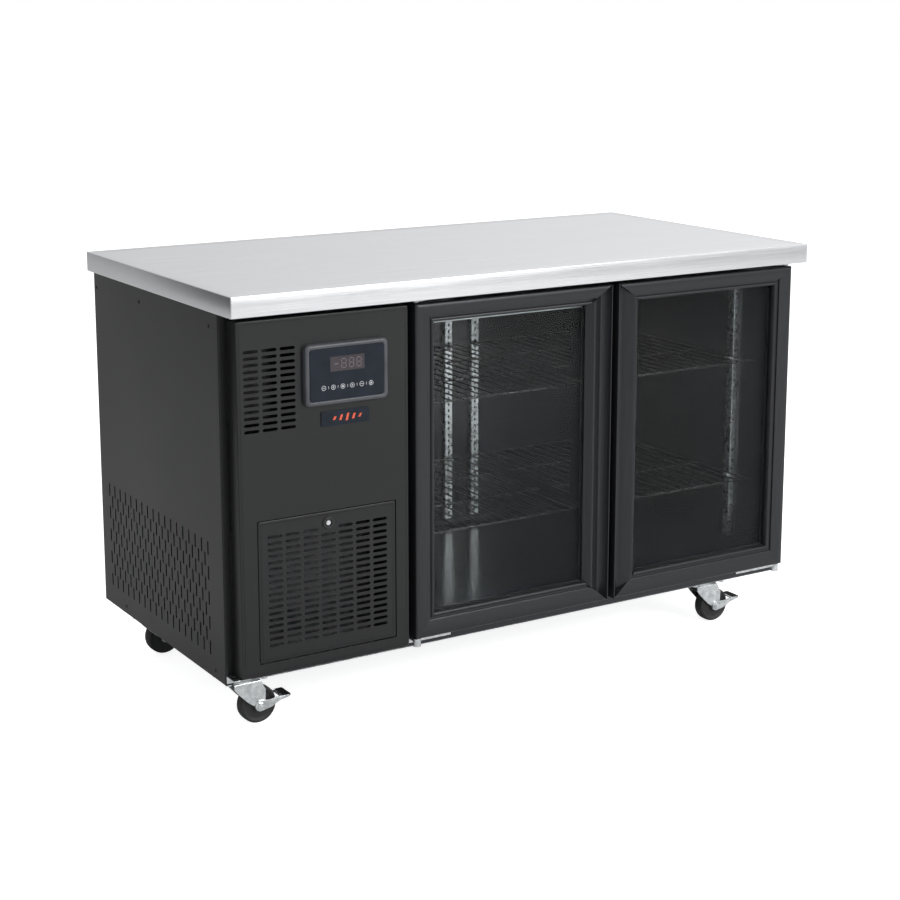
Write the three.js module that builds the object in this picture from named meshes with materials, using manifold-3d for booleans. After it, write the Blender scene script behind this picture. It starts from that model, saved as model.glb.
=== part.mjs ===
// Two-door glass-front undercounter refrigerator on swivel casters, with its cooling machine at the left end.
// Millimetres. +X runs to the right along the front, +Y to the back, +Z up. The floor is z = 0.

import * as THREE from 'three';
import { mergeGeometries, mergeVertices } from 'three/addons/utils/BufferGeometryUtils.js';
import Module from 'manifold-3d';

const wasm = await Module();
wasm.setup();

// ---------- driving dimensions ----------

const counterWidth = 1360;
const counterDepth = 700;
const counterHeight = 850;
const worktopThickness = 40;
const casterHeight = 104;
const clearance = 0.3;

const sideInset = 3;
const backInset = 31;
const frontSetback = 24;
const leafThickness = 30;
const sealSpace = 10;
const skin = 1.5;
const basePlate = 2;

const machineWidth = 378;
const sideWall = 45;
const backWall = 43;
const floorBuild = 46;
const ceilingBuild = 48;
const linerSheet = 1.2;
const linerCoving = 12;

const doorOverlap = 31;
const doorGap = 15;
const doorTopGap = 10;
const doorLift = 28;
const hingeStileWidth = 46;
const topRailWidth = 40;
const bottomRailWidth = 48;
const handleStileWidth = 59;
const glassThickness = 14;
const glassRebate = 8;
const gasketWidth = 14;
const hingePinInset = 9;
const hingePinRadius = 4;
const hingePinReach = 12;
const hingeRunningGap = 0.3;

const frontPanelInset = 16;
const frontPanelGap = 17;
const frontPanelLift = 20;
const slotWidth = 32;
const slotHeight = 6;
const slotPitchX = 37.2;
const slotPitchZ = 12.35;

const sideSlotWidth = 6;
const sideSlotHeight = 29;
const sideSlotPitchY = 14.5;
const sideSlotPitchZ = 49;

const mullionWidth = 24;
const mullionDepth = 96;
const mullionSealWidth = 70;
const mullionSealDepth = 14;
const wireSize = 4;
const wirePitch = 27.4;
const upperShelfTop = 586;
const lowerShelfTop = 319;
const pilasterWidth = 20;
const pilasterSpread = 36;
const pilasterDepth = 12;

const wheelRadius = 37.5;
const wheelWidth = 26;
const casterTrail = 33;
const forkSheet = 3;

// ---------- levels and planes worked out from them ----------

const worktopBottom = counterHeight - worktopThickness;
const cabinetLeft = -counterWidth / 2 + sideInset;
const cabinetRight = -cabinetLeft;
const frontFace = -counterDepth / 2 + frontSetback;
const cabinetFront = frontFace + leafThickness + sealSpace;
const cabinetBack = counterDepth / 2 - backInset;
const bodyLeft = cabinetLeft + machineWidth;
const bodyRight = cabinetRight - skin - clearance;
const bodyBack = cabinetBack - skin - clearance;
const bodyBottom = casterHeight + basePlate + clearance;
const bodyTop = worktopBottom - clearance;

const roomLeft = bodyLeft + sideWall;
const roomRight = bodyRight - sideWall;
const roomBack = bodyBack - backWall;
const roomFloor = casterHeight + floorBuild;
const roomCeiling = worktopBottom - ceilingBuild;
const roomCentre = (roomLeft + roomRight) / 2;
const mullionLeft = roomCentre - mullionWidth / 2;
const mullionRight = roomCentre + mullionWidth / 2;

const doorWidth = (roomRight - roomLeft + 2 * doorOverlap - doorGap) / 2;
const doorBottom = casterHeight + doorLift;
const doorTop = worktopBottom - doorTopGap;
const doorHeight = doorTop - doorBottom;
const leftDoorEdge = roomLeft - doorOverlap;
const rightDoorEdge = roomRight + doorOverlap;

const panelLeft = cabinetLeft + frontPanelInset;
const panelRight = leftDoorEdge - frontPanelGap;
const panelBottom = casterHeight + frontPanelLift;
const panelTop = doorTop;
const panelWidth = panelRight - panelLeft;
const panelCentre = (panelLeft + panelRight) / 2;

// ---------- materials ----------

function finish(color, roughness, metalness) {
  return new THREE.MeshStandardMaterial({ color, roughness, metalness });
}

const finishes = {
  brushedSteel: () => finish(0xc9cbce, 0.32, 1.0),
  blackSheet: () => finish(0x232426, 0.45, 0.3),
  charcoalSheet: () => finish(0x2c2d2f, 0.4, 0.3),
  blackAluminium: () => finish(0x1c1d1f, 0.35, 0.6),
  foam: () => finish(0xd9cfa8, 0.9, 0.0),
  liner: () => finish(0x11151b, 0.22, 0.2),
  glass: () => finish(0x9fb0b4, 0.05, 0.0),
  rubber: () => finish(0x17181a, 0.8, 0.0),
  zinc: () => finish(0xc4c8cb, 0.35, 0.9),
  blackPlastic: () => finish(0x1a1b1d, 0.5, 0.0),
  greyPlastic: () => finish(0x6d6f73, 0.5, 0.0),
  paleSteel: () => finish(0xb8bbbd, 0.4, 0.8),
  controlFace: () => finish(0x1b2129, 0.2, 0.0),
  badge: () => finish(0x26282b, 0.3, 0.4),
  lamp: () => finish(0xf2f4f6, 0.3, 0.0),
  blackWire: () => finish(0x141517, 0.4, 0.2),
};

// ---------- geometry helpers ----------

// Drops the triangles that a lathe leaves on its axis, where two corners meet in one point.
function withoutSlivers(index) {
  const kept = [];
  for (let i = 0; i < index.length; i += 3) {
    const [a, b, c] = [index[i], index[i + 1], index[i + 2]];
    if (a !== b && b !== c && c !== a) kept.push(a, b, c);
  }
  return kept;
}

function toSolid(geometry) {
  const bare = geometry.clone();
  bare.deleteAttribute('normal');
  bare.deleteAttribute('uv');
  const merged = mergeVertices(bare, 1e-4);
  return new wasm.Manifold(new wasm.Mesh({
    numProp: 3,
    vertProperties: Float32Array.from(merged.attributes.position.array),
    triVerts: Uint32Array.from(withoutSlivers(merged.index.array)),
  }));
}

function toGeometry(solid) {
  const mesh = solid.getMesh();
  const geometry = new THREE.BufferGeometry();
  geometry.setAttribute('position', new THREE.BufferAttribute(mesh.vertProperties, 3));
  geometry.setIndex(new THREE.BufferAttribute(mesh.triVerts, 1));
  return geometry;
}

function join(...geometries) {
  return toGeometry(geometries.map(toSolid).reduce((whole, piece) => whole.add(piece)));
}

function cut(base, ...tools) {
  return toGeometry(tools.map(toSolid).reduce((whole, tool) => whole.subtract(tool), toSolid(base)));
}

function common(first, second) {
  return toGeometry(toSolid(first).intersect(toSolid(second)));
}

function block(x0, x1, y0, y1, z0, z1) {
  const geometry = new THREE.BoxGeometry(x1 - x0, y1 - y0, z1 - z0);
  return geometry.translate((x0 + x1) / 2, (y0 + y1) / 2, (z0 + z1) / 2);
}

function extrude(shape, depth, curveSegments = 4) {
  return new THREE.ExtrudeGeometry(shape, { depth, bevelEnabled: false, curveSegments });
}

// Turns an extrusion so that the outline's two directions and its depth run along the given axes.
function turned(geometry, first, second) {
  const third = first.clone().cross(second);
  return geometry.applyMatrix4(new THREE.Matrix4().makeBasis(first, second, third));
}

const alongX = new THREE.Vector3(1, 0, 0);
const alongY = new THREE.Vector3(0, 1, 0);
const alongZ = new THREE.Vector3(0, 0, 1);
const towardFront = new THREE.Vector3(0, -1, 0);

// An outline drawn in x and z, extruded from y = back towards the front.
function frontPlate(shape, back, depth, curveSegments) {
  return turned(extrude(shape, depth, curveSegments), alongX, alongZ).translate(0, back, 0);
}

function polygon(points) {
  return new THREE.Shape(points.map(([x, y]) => new THREE.Vector2(x, y)));
}

function rectangle(x0, x1, y0, y1) {
  return polygon([[x0, y0], [x1, y0], [x1, y1], [x0, y1]]);
}

function roundedRectangle(x0, x1, y0, y1, radius) {
  const shape = new THREE.Shape();
  shape.absarc(x1 - radius, y0 + radius, radius, -Math.PI / 2, 0, false);
  shape.absarc(x1 - radius, y1 - radius, radius, 0, Math.PI / 2, false);
  shape.absarc(x0 + radius, y1 - radius, radius, Math.PI / 2, Math.PI, false);
  shape.absarc(x0 + radius, y0 + radius, radius, Math.PI, 1.5 * Math.PI, false);
  return shape;
}

function rodAlongY(radius, y0, y1, x, z, sides = 16) {
  return new THREE.CylinderGeometry(radius, radius, y1 - y0, sides).translate(x, (y0 + y1) / 2, z);
}

function rodAlongZ(radius, z0, z1, x, y, sides = 16) {
  const rod = new THREE.CylinderGeometry(radius, radius, z1 - z0, sides);
  return rod.rotateX(Math.PI / 2).translate(x, y, (z0 + z1) / 2);
}

function mirroredX(geometry) {
  const mirrored = toGeometry(toSolid(geometry)).scale(-1, 1, 1);
  const index = mirrored.index.array;
  for (let i = 0; i < index.length; i += 3) {
    [index[i + 1], index[i + 2]] = [index[i + 2], index[i + 1]];
  }
  return mirrored;
}

// Rows and columns of slot cutters through a sheet that faces the front.
function slotCutters(left, top, columns, rows, skipped) {
  const cutters = [];
  for (let row = 0; row < rows; row += 1) {
    for (let column = 0; column < columns; column += 1) {
      if (skipped && skipped(column, row)) continue;
      const x = left + column * slotPitchX;
      const z = top - row * slotPitchZ;
      cutters.push(block(x, x + slotWidth, -leafThickness, leafThickness, z - slotHeight / 2, z + slotHeight / 2));
    }
  }
  return mergeGeometries(cutters);
}

function piece(parent, name, geometry, material, x = 0, y = 0, z = 0) {
  const mesh = new THREE.Mesh(geometry, material);
  mesh.name = name;
  mesh.position.set(x, y, z);
  parent.add(mesh);
  return mesh;
}

function groupAt(parent, x, y, z) {
  const group = new THREE.Group();
  group.position.set(x, y, z);
  parent.add(group);
  return group;
}

// ---------- cabinet ----------

function addWorktop(parent) {
  const edgeRadius = 2;
  const outline = roundedRectangle(-counterWidth / 2, counterWidth / 2, -counterDepth / 2, counterDepth / 2, edgeRadius);
  piece(parent, 'worktop', extrude(outline, worktopThickness), finishes.brushedSteel(), 0, 0, worktopBottom);
}

// Left end skin: a sheet with a narrow front flange and staggered upright slots for the machine's air.
function addVentedSidePanel(parent) {
  const flange = frontPanelInset;
  const bottom = casterHeight;
  const height = bodyTop - bottom;
  const depth = cabinetBack - cabinetFront;
  const slotField = { front: 64, back: depth - 42, bottom: 41, rows: 5 };
  const outline = polygon([[0, 0], [flange, 0], [flange, skin], [skin, skin], [skin, depth], [0, depth]]);
  const cutters = [];
  const columns = Math.floor((slotField.back - slotField.front - sideSlotWidth) / sideSlotPitchY) + 1;
  for (let column = 0; column < columns; column += 1) {
    const y = slotField.front + column * sideSlotPitchY;
    const staggered = column % 2 === 1;
    const rows = staggered ? slotField.rows - 1 : slotField.rows;
    for (let row = 0; row < rows; row += 1) {
      const z = slotField.bottom + (row + (staggered ? 0.5 : 0)) * sideSlotPitchZ;
      cutters.push(block(-skin, 2 * skin, y, y + sideSlotWidth, z, z + sideSlotHeight));
    }
  }
  const sheet = cut(extrude(outline, height), mergeGeometries(cutters));
  piece(parent, 'side_panel_left', sheet, finishes.blackSheet(), cabinetLeft, cabinetFront, bottom);
}

function addPlainSidePanel(parent) {
  const sheet = block(-skin, 0, 0, cabinetBack - cabinetFront, 0, bodyTop - casterHeight);
  piece(parent, 'side_panel_right', sheet, finishes.blackSheet(), cabinetRight, cabinetFront, casterHeight);
}

function addBackPanel(parent) {
  const left = skin + clearance;
  const width = cabinetRight - cabinetLeft - 2 * left;
  const louvres = { columns: 5, rows: 6, inset: 90, top: 330 };
  const sheet = block(0, width, -skin, 0, 0, bodyTop - bodyBottom);
  const cutters = slotCutters(louvres.inset, louvres.top, louvres.columns, louvres.rows);
  const plate = cut(sheet, cutters);
  piece(parent, 'back_panel', plate, finishes.paleSteel(), cabinetLeft + left, cabinetBack, bodyBottom);
}

function addBaseTray(parent) {
  const inset = skin + clearance;
  const plate = block(cabinetLeft + inset, cabinetRight - inset, cabinetFront + inset, cabinetBack, 0, basePlate);
  piece(parent, 'base_tray', plate, finishes.blackSheet(), 0, 0, casterHeight);
}

// Foamed box around the cold room, open at the front.
function addInsulatedBody(parent) {
  const wall = linerSheet + clearance;
  const front = cabinetFront + wall;
  const outside = block(bodyLeft, bodyRight, front, bodyBack, bodyBottom, bodyTop);
  const hollow = block(
    roomLeft - wall, roomRight + wall, front - sideWall, roomBack + wall, roomFloor - wall, roomCeiling + wall);
  piece(parent, 'insulated_body', cut(outside, hollow), finishes.foam());
}

// Thin inside lining with coved long edges and a flange that covers the foam at the front.
function addInnerLiner(parent) {
  const shell = block(
    roomLeft - linerSheet, roomRight + linerSheet, cabinetFront, roomBack + linerSheet,
    roomFloor - linerSheet, roomCeiling + linerSheet);
  const flange = block(bodyLeft, bodyRight, cabinetFront, cabinetFront + linerSheet, bodyBottom, bodyTop);
  const opening = roundedRectangle(roomLeft, roomRight, roomFloor, roomCeiling, linerCoving);
  const room = frontPlate(opening, roomBack, roomBack - cabinetFront + sealSpace);
  piece(parent, 'inner_liner', cut(join(shell, flange), room), finishes.liner());
}

// Post between the doorways: a wide front strip for both seals, a narrow web behind it and a tab under each shelf.
function addMullion(parent) {
  const height = roomCeiling - roomFloor - 2 * clearance;
  const wing = (mullionSealWidth - mullionWidth) / 2;
  const strip = block(-wing, mullionWidth + wing, 0, mullionSealDepth, 0, height);
  const web = block(0, mullionWidth, 0, mullionDepth, 0, height);
  const tabs = [upperShelfTop, lowerShelfTop].flatMap((top) => {
    const z = top - wireSize - clearance - roomFloor - clearance;
    const back = mullionDepth - 12;
    return [block(-tabReach, 1, back - 10, back, z - tabHeight, z),
      block(mullionWidth - 1, mullionWidth + tabReach, back - 10, back, z - tabHeight, z)];
  });
  const post = join(strip, web, ...tabs);
  piece(parent, 'mullion', post, finishes.liner(), mullionLeft, cabinetFront, roomFloor + clearance);
}

// ---------- machine compartment front ----------

function slotColumnsIn(width) {
  return Math.floor((width - slotWidth) / slotPitchX) + 1;
}

const grille = { rows: 18, sideMargin: 18.5, topDrop: 32, leastFrame: 28 };
grille.columns = slotColumnsIn(panelWidth - 2 * (grille.leastFrame + grille.sideMargin));
const grilleWidth = (grille.columns - 1) * slotPitchX + slotWidth + 2 * grille.sideMargin;
const grilleHeight = 274;
const grilleLift = 25;
const grilleGap = 1.5;
const grilleLeft = panelCentre + 3.5 - grilleWidth / 2;
const grilleBottom = panelBottom + grilleLift;
const lockDrop = 22;
const lockRadius = 9;

const ventMargin = 13;
const ventDrop = 57;
const controller = { width: 175, height: 116, depth: 12, fromRight: 50, fromTop: 55, corner: 12 };
const controllerLeft = panelRight - controller.fromRight - controller.width;
const controllerTop = panelTop - controller.fromTop;
const faceMargin = 9;
const faceDepth = 3;
const housing = { width: 140, height: 84, depth: 38 };

// Folded pan with air slots, a window for the controller and a doorway for the service grille.
function addFrontPanel(parent) {
  const height = panelTop - panelBottom;
  const depth = cabinetFront - frontFace - 1;
  const ventColumns = slotColumnsIn(controllerLeft - panelLeft - ventMargin);
  const ventRows = 13;
  const pan = cut(
    block(0, panelWidth, 0, depth, 0, height),
    block(skin, panelWidth - skin, skin, depth + skin, skin, height - skin));
  const doorway = block(
    grilleLeft - grilleGap - panelLeft, grilleLeft + grilleWidth + grilleGap - panelLeft, -skin, 2 * skin,
    grilleLift - grilleGap, grilleLift + grilleHeight + grilleGap);
  const windowLeft = controllerLeft - panelLeft + (controller.width - housing.width) / 2 - 1;
  const windowTop = controllerTop - panelBottom - (controller.height - housing.height) / 2 + 1;
  const controlWindow = block(
    windowLeft, windowLeft + housing.width + 2, -skin, 2 * skin, windowTop - housing.height - 2, windowTop);
  const slots = slotCutters(ventMargin, height - ventDrop, ventColumns, ventRows);
  const panel = cut(pan, doorway, controlWindow, slots);
  piece(parent, 'machine_front_panel', panel, finishes.charcoalSheet(), panelLeft, frontFace, panelBottom);
}

// The grille swings down about its front bottom edge.
function addServiceGrille(parent) {
  const hinge = groupAt(parent, grilleLeft, frontFace, grilleBottom);
  const flange = 10;
  const middle = Math.floor(grille.columns / 2);
  const lockX = grilleWidth / 2;
  const lockZ = grilleHeight - lockDrop;
  const sideways = grille.sideMargin + slotWidth / 2;
  const pan = cut(
    block(0, grilleWidth, 0, flange, 0, grilleHeight),
    block(skin, grilleWidth - skin, skin, flange + skin, skin, grilleHeight - skin));
  const slots = slotCutters(
    grille.sideMargin, grilleHeight - grille.topDrop, grille.columns, grille.rows,
    (column, row) => row === 0 && Math.abs(column * slotPitchX + sideways - lockX) < slotWidth / 2 + lockRadius + 2);
  const keyhole = rodAlongY(lockRadius + 0.5, -flange, 2 * flange, lockX, lockZ, 20);
  piece(hinge, 'service_grille', cut(pan, slots, keyhole), finishes.charcoalSheet());
  addGrilleLock(hinge, lockX, lockZ);
}

// Cam lock: round head in front, barrel through the grille and a tongue that turns behind the front panel.
function addGrilleLock(parent, x, z) {
  const head = rodAlongY(lockRadius + 3, -3, -clearance, 0, 0, 20);
  const barrel = rodAlongY(lockRadius, -1, 15, 0, 0, 20);
  const tongue = block(-6, 34, 12, 14.5, -5, 5);
  const key = block(-1.2, 1.2, -4, -2, -5, 5);
  piece(parent, 'grille_lock', cut(join(head, barrel, tongue), key), finishes.blackPlastic(), x, 0, z);
}

function addController(parent) {
  const corner = groupAt(parent, controllerLeft, frontFace, controllerTop - controller.height);
  const { width, height, depth } = controller;
  const sideways = (width - housing.width) / 2;
  const upright = (height - housing.height) / 2;
  const bezel = frontPlate(roundedRectangle(0, width, 0, height, controller.corner), -clearance, depth);
  const back = block(sideways, width - sideways, -1, housing.depth, upright, height - upright);
  const recess = frontPlate(
    roundedRectangle(faceMargin, width - faceMargin, faceMargin, height - faceMargin, controller.corner / 2),
    -clearance - depth + faceDepth, faceDepth + 1);
  piece(corner, 'controller_bezel', cut(join(bezel, back), recess), finishes.greyPlastic());
  const inset = faceMargin + clearance;
  const face = frontPlate(
    roundedRectangle(inset, width - inset, inset, height - inset, controller.corner / 2 - clearance),
    -clearance - depth + faceDepth - clearance, faceDepth - 1);
  piece(corner, 'controller_face', face, finishes.controlFace());
}

function addBadgePlate(parent) {
  const plate = { width: 102, height: 28, thickness: 1.8, drop: 14 };
  const left = controllerLeft + (controller.width - plate.width) / 2;
  const bottom = controllerTop - controller.height - plate.drop - plate.height;
  const outline = roundedRectangle(0, plate.width, 0, plate.height, 2);
  const sheet = frontPlate(outline, -clearance, plate.thickness, 2);
  piece(parent, 'badge_plate', sheet, finishes.badge(), left, frontFace, bottom);
}

function addFrontPanelBracket(parent) {
  const thick = 2;
  const back = -clearance;
  const upright = block(1, 36, back - thick, back, 4, frontPanelLift - 1);
  const ledge = block(1, 36, -34, back, frontPanelLift - 1 - thick, frontPanelLift - 1);
  piece(parent, 'front_panel_bracket', join(upright, ledge), finishes.zinc(), cabinetLeft, cabinetFront, casterHeight);
}

// ---------- doors ----------

// Section of a plain rail: inward distance from the leaf's outer edge against height above the leaf's back.
function railSection(width) {
  const rebateTop = glassThickness + 2 * clearance;
  const shape = new THREE.Shape();
  shape.moveTo(0, 0);
  shape.lineTo(width - glassRebate, 0);
  shape.lineTo(width - glassRebate, rebateTop);
  shape.lineTo(width, rebateTop);
  shape.lineTo(width, rebateTop + 1.5);
  shape.lineTo(width - 4, leafThickness - 11);
  shape.lineTo(width - 12, leafThickness - 4.5);
  shape.lineTo(4, leafThickness);
  shape.quadraticCurveTo(0, leafThickness, 0, leafThickness - 4);
  return shape;
}

// Section of the handle stile: a thin nose on the free edge, a hollow for the fingers, a slope up to a crest and
// the fall from it to the glass.
const gripNose = 3;
const gripWidth = 20;
const gripDepth = 17;
const crestFall = 12;

function handleSection(width) {
  const rebateTop = glassThickness + 2 * clearance;
  const crest = width - crestFall;
  const gripEnd = gripNose + gripWidth;
  const shape = new THREE.Shape();
  shape.moveTo(0, 0);
  shape.lineTo(width - glassRebate, 0);
  shape.lineTo(width - glassRebate, rebateTop);
  shape.lineTo(width, rebateTop);
  shape.lineTo(width, rebateTop + 1.5);
  shape.lineTo(width - 4, leafThickness - 11);
  shape.lineTo(crest, leafThickness);
  shape.lineTo(crest - 3, leafThickness);
  shape.lineTo(gripEnd, leafThickness - gripDepth + 2);
  shape.quadraticCurveTo(gripNose + gripWidth / 2, leafThickness - gripDepth - 8, gripNose, leafThickness - 3);
  shape.lineTo(gripNose - 1.5, leafThickness);
  shape.lineTo(0, leafThickness - 2);
  return shape;
}

const mitreOverlap = 0.8;

// A bar of the given section whose two ends are mitred to meet bars of the neighbours' widths.
function mitredBar(section, width, length, startNeighbour, endNeighbour, inward, origin) {
  const bar = extrude(section, length, 3);
  const position = bar.attributes.position;
  for (let i = 0; i < position.count; i += 1) {
    const across = position.getX(i) / width;
    const atStart = position.getZ(i) < length / 2;
    position.setZ(i, atStart ? across * startNeighbour - mitreOverlap : length - across * endNeighbour + mitreOverlap);
  }
  return turned(bar, inward, towardFront).translate(...origin);
}

// Leaf frame with its hinge edge at x = 0, its back at y = 0 and its bottom at z = 0.
function leafFrame() {
  const hingeStile = mitredBar(
    railSection(hingeStileWidth), hingeStileWidth, doorHeight, topRailWidth, bottomRailWidth,
    alongX, [0, 0, doorHeight]);
  const handleStile = mitredBar(
    handleSection(handleStileWidth), handleStileWidth, doorHeight, bottomRailWidth, topRailWidth,
    alongX.clone().negate(), [doorWidth, 0, 0]);
  const topRail = mitredBar(
    railSection(topRailWidth), topRailWidth, doorWidth, handleStileWidth, hingeStileWidth,
    alongZ.clone().negate(), [doorWidth, 0, doorHeight]);
  const bottomRail = mitredBar(
    railSection(bottomRailWidth), bottomRailWidth, doorWidth, hingeStileWidth, handleStileWidth,
    alongZ, [0, 0, 0]);
  const bore = hingePinRadius + hingeRunningGap;
  const pinY = -leafThickness / 2;
  const depth = hingePinReach + 1;
  const envelope = block(0, doorWidth, -leafThickness, 0, 0, doorHeight);
  return cut(
    common(join(hingeStile, handleStile, topRail, bottomRail), envelope),
    rodAlongZ(bore, -1, depth, hingePinInset, pinY, 12),
    rodAlongZ(bore, doorHeight - depth, doorHeight + 1, hingePinInset, pinY, 12));
}

function leafGlass() {
  const tuck = glassRebate - clearance;
  return block(
    hingeStileWidth - tuck, doorWidth - handleStileWidth + tuck, -glassThickness - clearance, -clearance,
    bottomRailWidth - tuck, doorHeight - topRailWidth + tuck);
}

function leafGasket() {
  const outer = hingePinInset + 0.5;
  const inner = outer + gasketWidth;
  const ring = rectangle(outer, doorWidth - outer, outer, doorHeight - outer);
  ring.holes.push(rectangle(inner, doorWidth - inner, inner, doorHeight - inner));
  return frontPlate(ring, sealSpace - clearance, sealSpace - 2 * clearance);
}

// Hinge-pin axis is the origin of each door's group.
function addDoor(parent, side, hingeEdge, direction) {
  const facing = direction > 0 ? (geometry) => geometry : mirroredX;
  const group = groupAt(parent, hingeEdge + direction * hingePinInset, frontFace + leafThickness / 2, doorBottom);
  const place = (name, geometry, material) => piece(
    group, `${name}_${side}`, facing(geometry), material, -direction * hingePinInset, leafThickness / 2, 0);
  place('door_frame', leafFrame(), finishes.blackAluminium());
  place('door_glass', leafGlass(), finishes.glass());
  place('door_gasket', leafGasket(), finishes.rubber());
}

const bracketGap = 2;
const bracketWidth = 92;
const bracketBoss = 8;

// Wedge-shaped arm from the cabinet face to a round boss that carries the leaf's pin. It is drawn for a bottom corner.
function hingeBracket(reachDown) {
  const pinY = -sealSpace - leafThickness / 2;
  const armThickness = Math.min(5, reachDown - 1);
  const outline = polygon([
    [-bracketBoss, pinY], [bracketBoss, pinY - 3], [bracketWidth, -6], [bracketWidth, -clearance],
    [-bracketBoss, -clearance]]);
  const arm = extrude(outline, armThickness).translate(0, 0, -bracketGap - armThickness);
  const upright = block(-bracketBoss, bracketWidth, -3, -clearance, -bracketGap - reachDown, -bracketGap);
  const boss = rodAlongZ(bracketBoss, -bracketGap - reachDown, -bracketGap, 0, pinY, 20);
  const pin = rodAlongZ(hingePinRadius, -bracketGap - 1, hingePinReach, 0, pinY, 12);
  return join(arm, upright, boss, pin);
}

function addHingeBrackets(parent, side, hingeEdge, direction) {
  const facing = direction > 0 ? (geometry) => geometry : mirroredX;
  const x = hingeEdge + direction * hingePinInset;
  const reachBelow = 16;
  const reachAbove = doorTopGap - bracketGap - 2 * clearance;
  const lower = facing(hingeBracket(reachBelow));
  const upper = facing(mirroredX(hingeBracket(reachAbove).rotateY(Math.PI)));
  piece(parent, `hinge_bracket_bottom_${side}`, lower, finishes.zinc(), x, cabinetFront, doorBottom);
  piece(parent, `hinge_bracket_top_${side}`, upper, finishes.zinc(), x, cabinetFront, doorTop);
}

// ---------- inside the cold room ----------

const shelfFront = cabinetFront + 32;
const shelfBack = roomBack - pilasterDepth - 4;
const shelfDepth = shelfBack - shelfFront;
const shelfWidth = mullionLeft - 5 - (roomLeft + pilasterDepth + 1);
const tabReach = 14;
const tabHeight = 5;

// Flat welded grid: close wires run front to back, and a few cross wires tie them.
function shelfGrid() {
  const bays = Math.max(2, Math.round((shelfWidth - wireSize) / wirePitch));
  const step = (shelfWidth - wireSize) / bays;
  const rows = 2;
  const rowStep = (shelfDepth - wireSize) / rows;
  const openings = [];
  for (let bay = 0; bay < bays; bay += 1) {
    for (let row = 0; row < rows; row += 1) {
      const x = bay * step + wireSize;
      const y = row * rowStep + wireSize;
      openings.push(block(x, x + step - wireSize, y, y + rowStep - wireSize, -wireSize, 2 * wireSize));
    }
  }
  return cut(block(0, shelfWidth, 0, shelfDepth, 0, wireSize), mergeGeometries(openings));
}

function addShelves(parent) {
  const lefts = { left: roomLeft + pilasterDepth + 1, right: mullionRight + 5 };
  const tops = { upper: upperShelfTop, lower: lowerShelfTop };
  for (const [side, x] of Object.entries(lefts)) {
    for (const [level, top] of Object.entries(tops)) {
      piece(parent, `shelf_${side}_${level}`, shelfGrid(), finishes.blackWire(), x, shelfFront, top - wireSize);
    }
  }
}

// Channel with its open side to the wall and a tab under each shelf. It is drawn against a wall at y = 0.
function pilaster(height) {
  const half = pilasterWidth / 2;
  const channel = cut(
    block(-half, half, -pilasterDepth, -clearance, 0, height),
    block(-half + skin, half - skin, -pilasterDepth + skin, 1, -1, height + 1));
  const tabs = [upperShelfTop, lowerShelfTop].map((top) => {
    const z = top - wireSize - clearance - pilasterBottom;
    return block(-5, 5, -pilasterDepth - tabReach, -pilasterDepth + 1, z - tabHeight, z);
  });
  return join(channel, ...tabs);
}

const pilasterFromFront = 108;
const pilasterFromBack = 40;
const pilasterBottom = roomFloor + 20;
const pilasterTop = roomCeiling - 17;

function addPilasters(parent) {
  const height = pilasterTop - pilasterBottom;
  const frontY = cabinetFront + pilasterFromFront;
  const backY = roomBack - pilasterFromBack;
  const spots = {
    left_front: [roomLeft, frontY, Math.PI / 2],
    left_back: [roomLeft, backY, Math.PI / 2],
    centre_left: [roomCentre - pilasterSpread, roomBack, 0],
    centre_right: [roomCentre + pilasterSpread, roomBack, 0],
    right_front: [roomRight, frontY, -Math.PI / 2],
    right_back: [roomRight, backY, -Math.PI / 2],
  };
  for (const [place, [x, y, turn]] of Object.entries(spots)) {
    const mesh = piece(parent, `pilaster_${place}`, pilaster(height), finishes.zinc(), x, y, pilasterBottom);
    mesh.rotation.z = turn;
  }
}

function addLampStrip(parent) {
  const length = mullionLeft - roomLeft - 60;
  const strip = block(0, length, 0, 22, -12, -clearance);
  piece(parent, 'lamp_strip', strip, finishes.lamp(), roomLeft + 30, cabinetFront + 10, roomCeiling);
}

// Bladed wheel turning about y, centred on the origin.
function fanWheel(radius, hubRadius, depth, blades, pitch) {
  const hub = rodAlongY(hubRadius, -depth / 2, depth / 2, 0, 0, 16);
  const wings = [];
  for (let i = 0; i < blades; i += 1) {
    const wing = new THREE.BoxGeometry(radius - hubRadius + 2, 2, depth * 1.5);
    wing.rotateX(pitch).translate((radius + hubRadius - 2) / 2, 0, 0);
    wings.push(wing.rotateY((2 * Math.PI * i) / blades));
  }
  return join(hub, ...wings);
}

// Ceiling cooler: a sheet cover open below, the finned coil in it and a small fan in its front.
function addEvaporator(parent) {
  const width = 360;
  const depth = 150;
  const height = 92;
  const fanRadius = 40;
  const group = groupAt(parent, roomLeft + 24, roomBack - 4 - depth, roomCeiling - clearance - height);
  const cover = cut(
    block(0, width, 0, depth, 0, height),
    block(skin, width - skin, skin, depth - skin, -1, height - skin),
    rodAlongY(fanRadius + 3, -5, 5, width / 2, height / 2, 20));
  piece(group, 'evaporator_cover', cover, finishes.liner());
  const coil = block(14, width - 14, 46, depth - 10, 8, height - 10);
  piece(group, 'evaporator_coil', coil, finishes.paleSteel());
  const wheel = fanWheel(fanRadius, 13, 16, 5, 0.6);
  piece(group, 'evaporator_fan', wheel, finishes.blackPlastic(), width / 2, 22, height / 2);
}

// ---------- machine compartment ----------

const machineFloor = bodyBottom;
const condenser = { width: machineWidth - 78, height: 270, depth: 45 };
const condenserFront = cabinetFront + 46;
const machineCentre = (cabinetLeft + bodyLeft) / 2;
const condenserBack = condenserFront + condenser.depth;
const coolingFan = { radius: Math.min(104, condenser.width / 2 - 12), depth: 20 };

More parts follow.
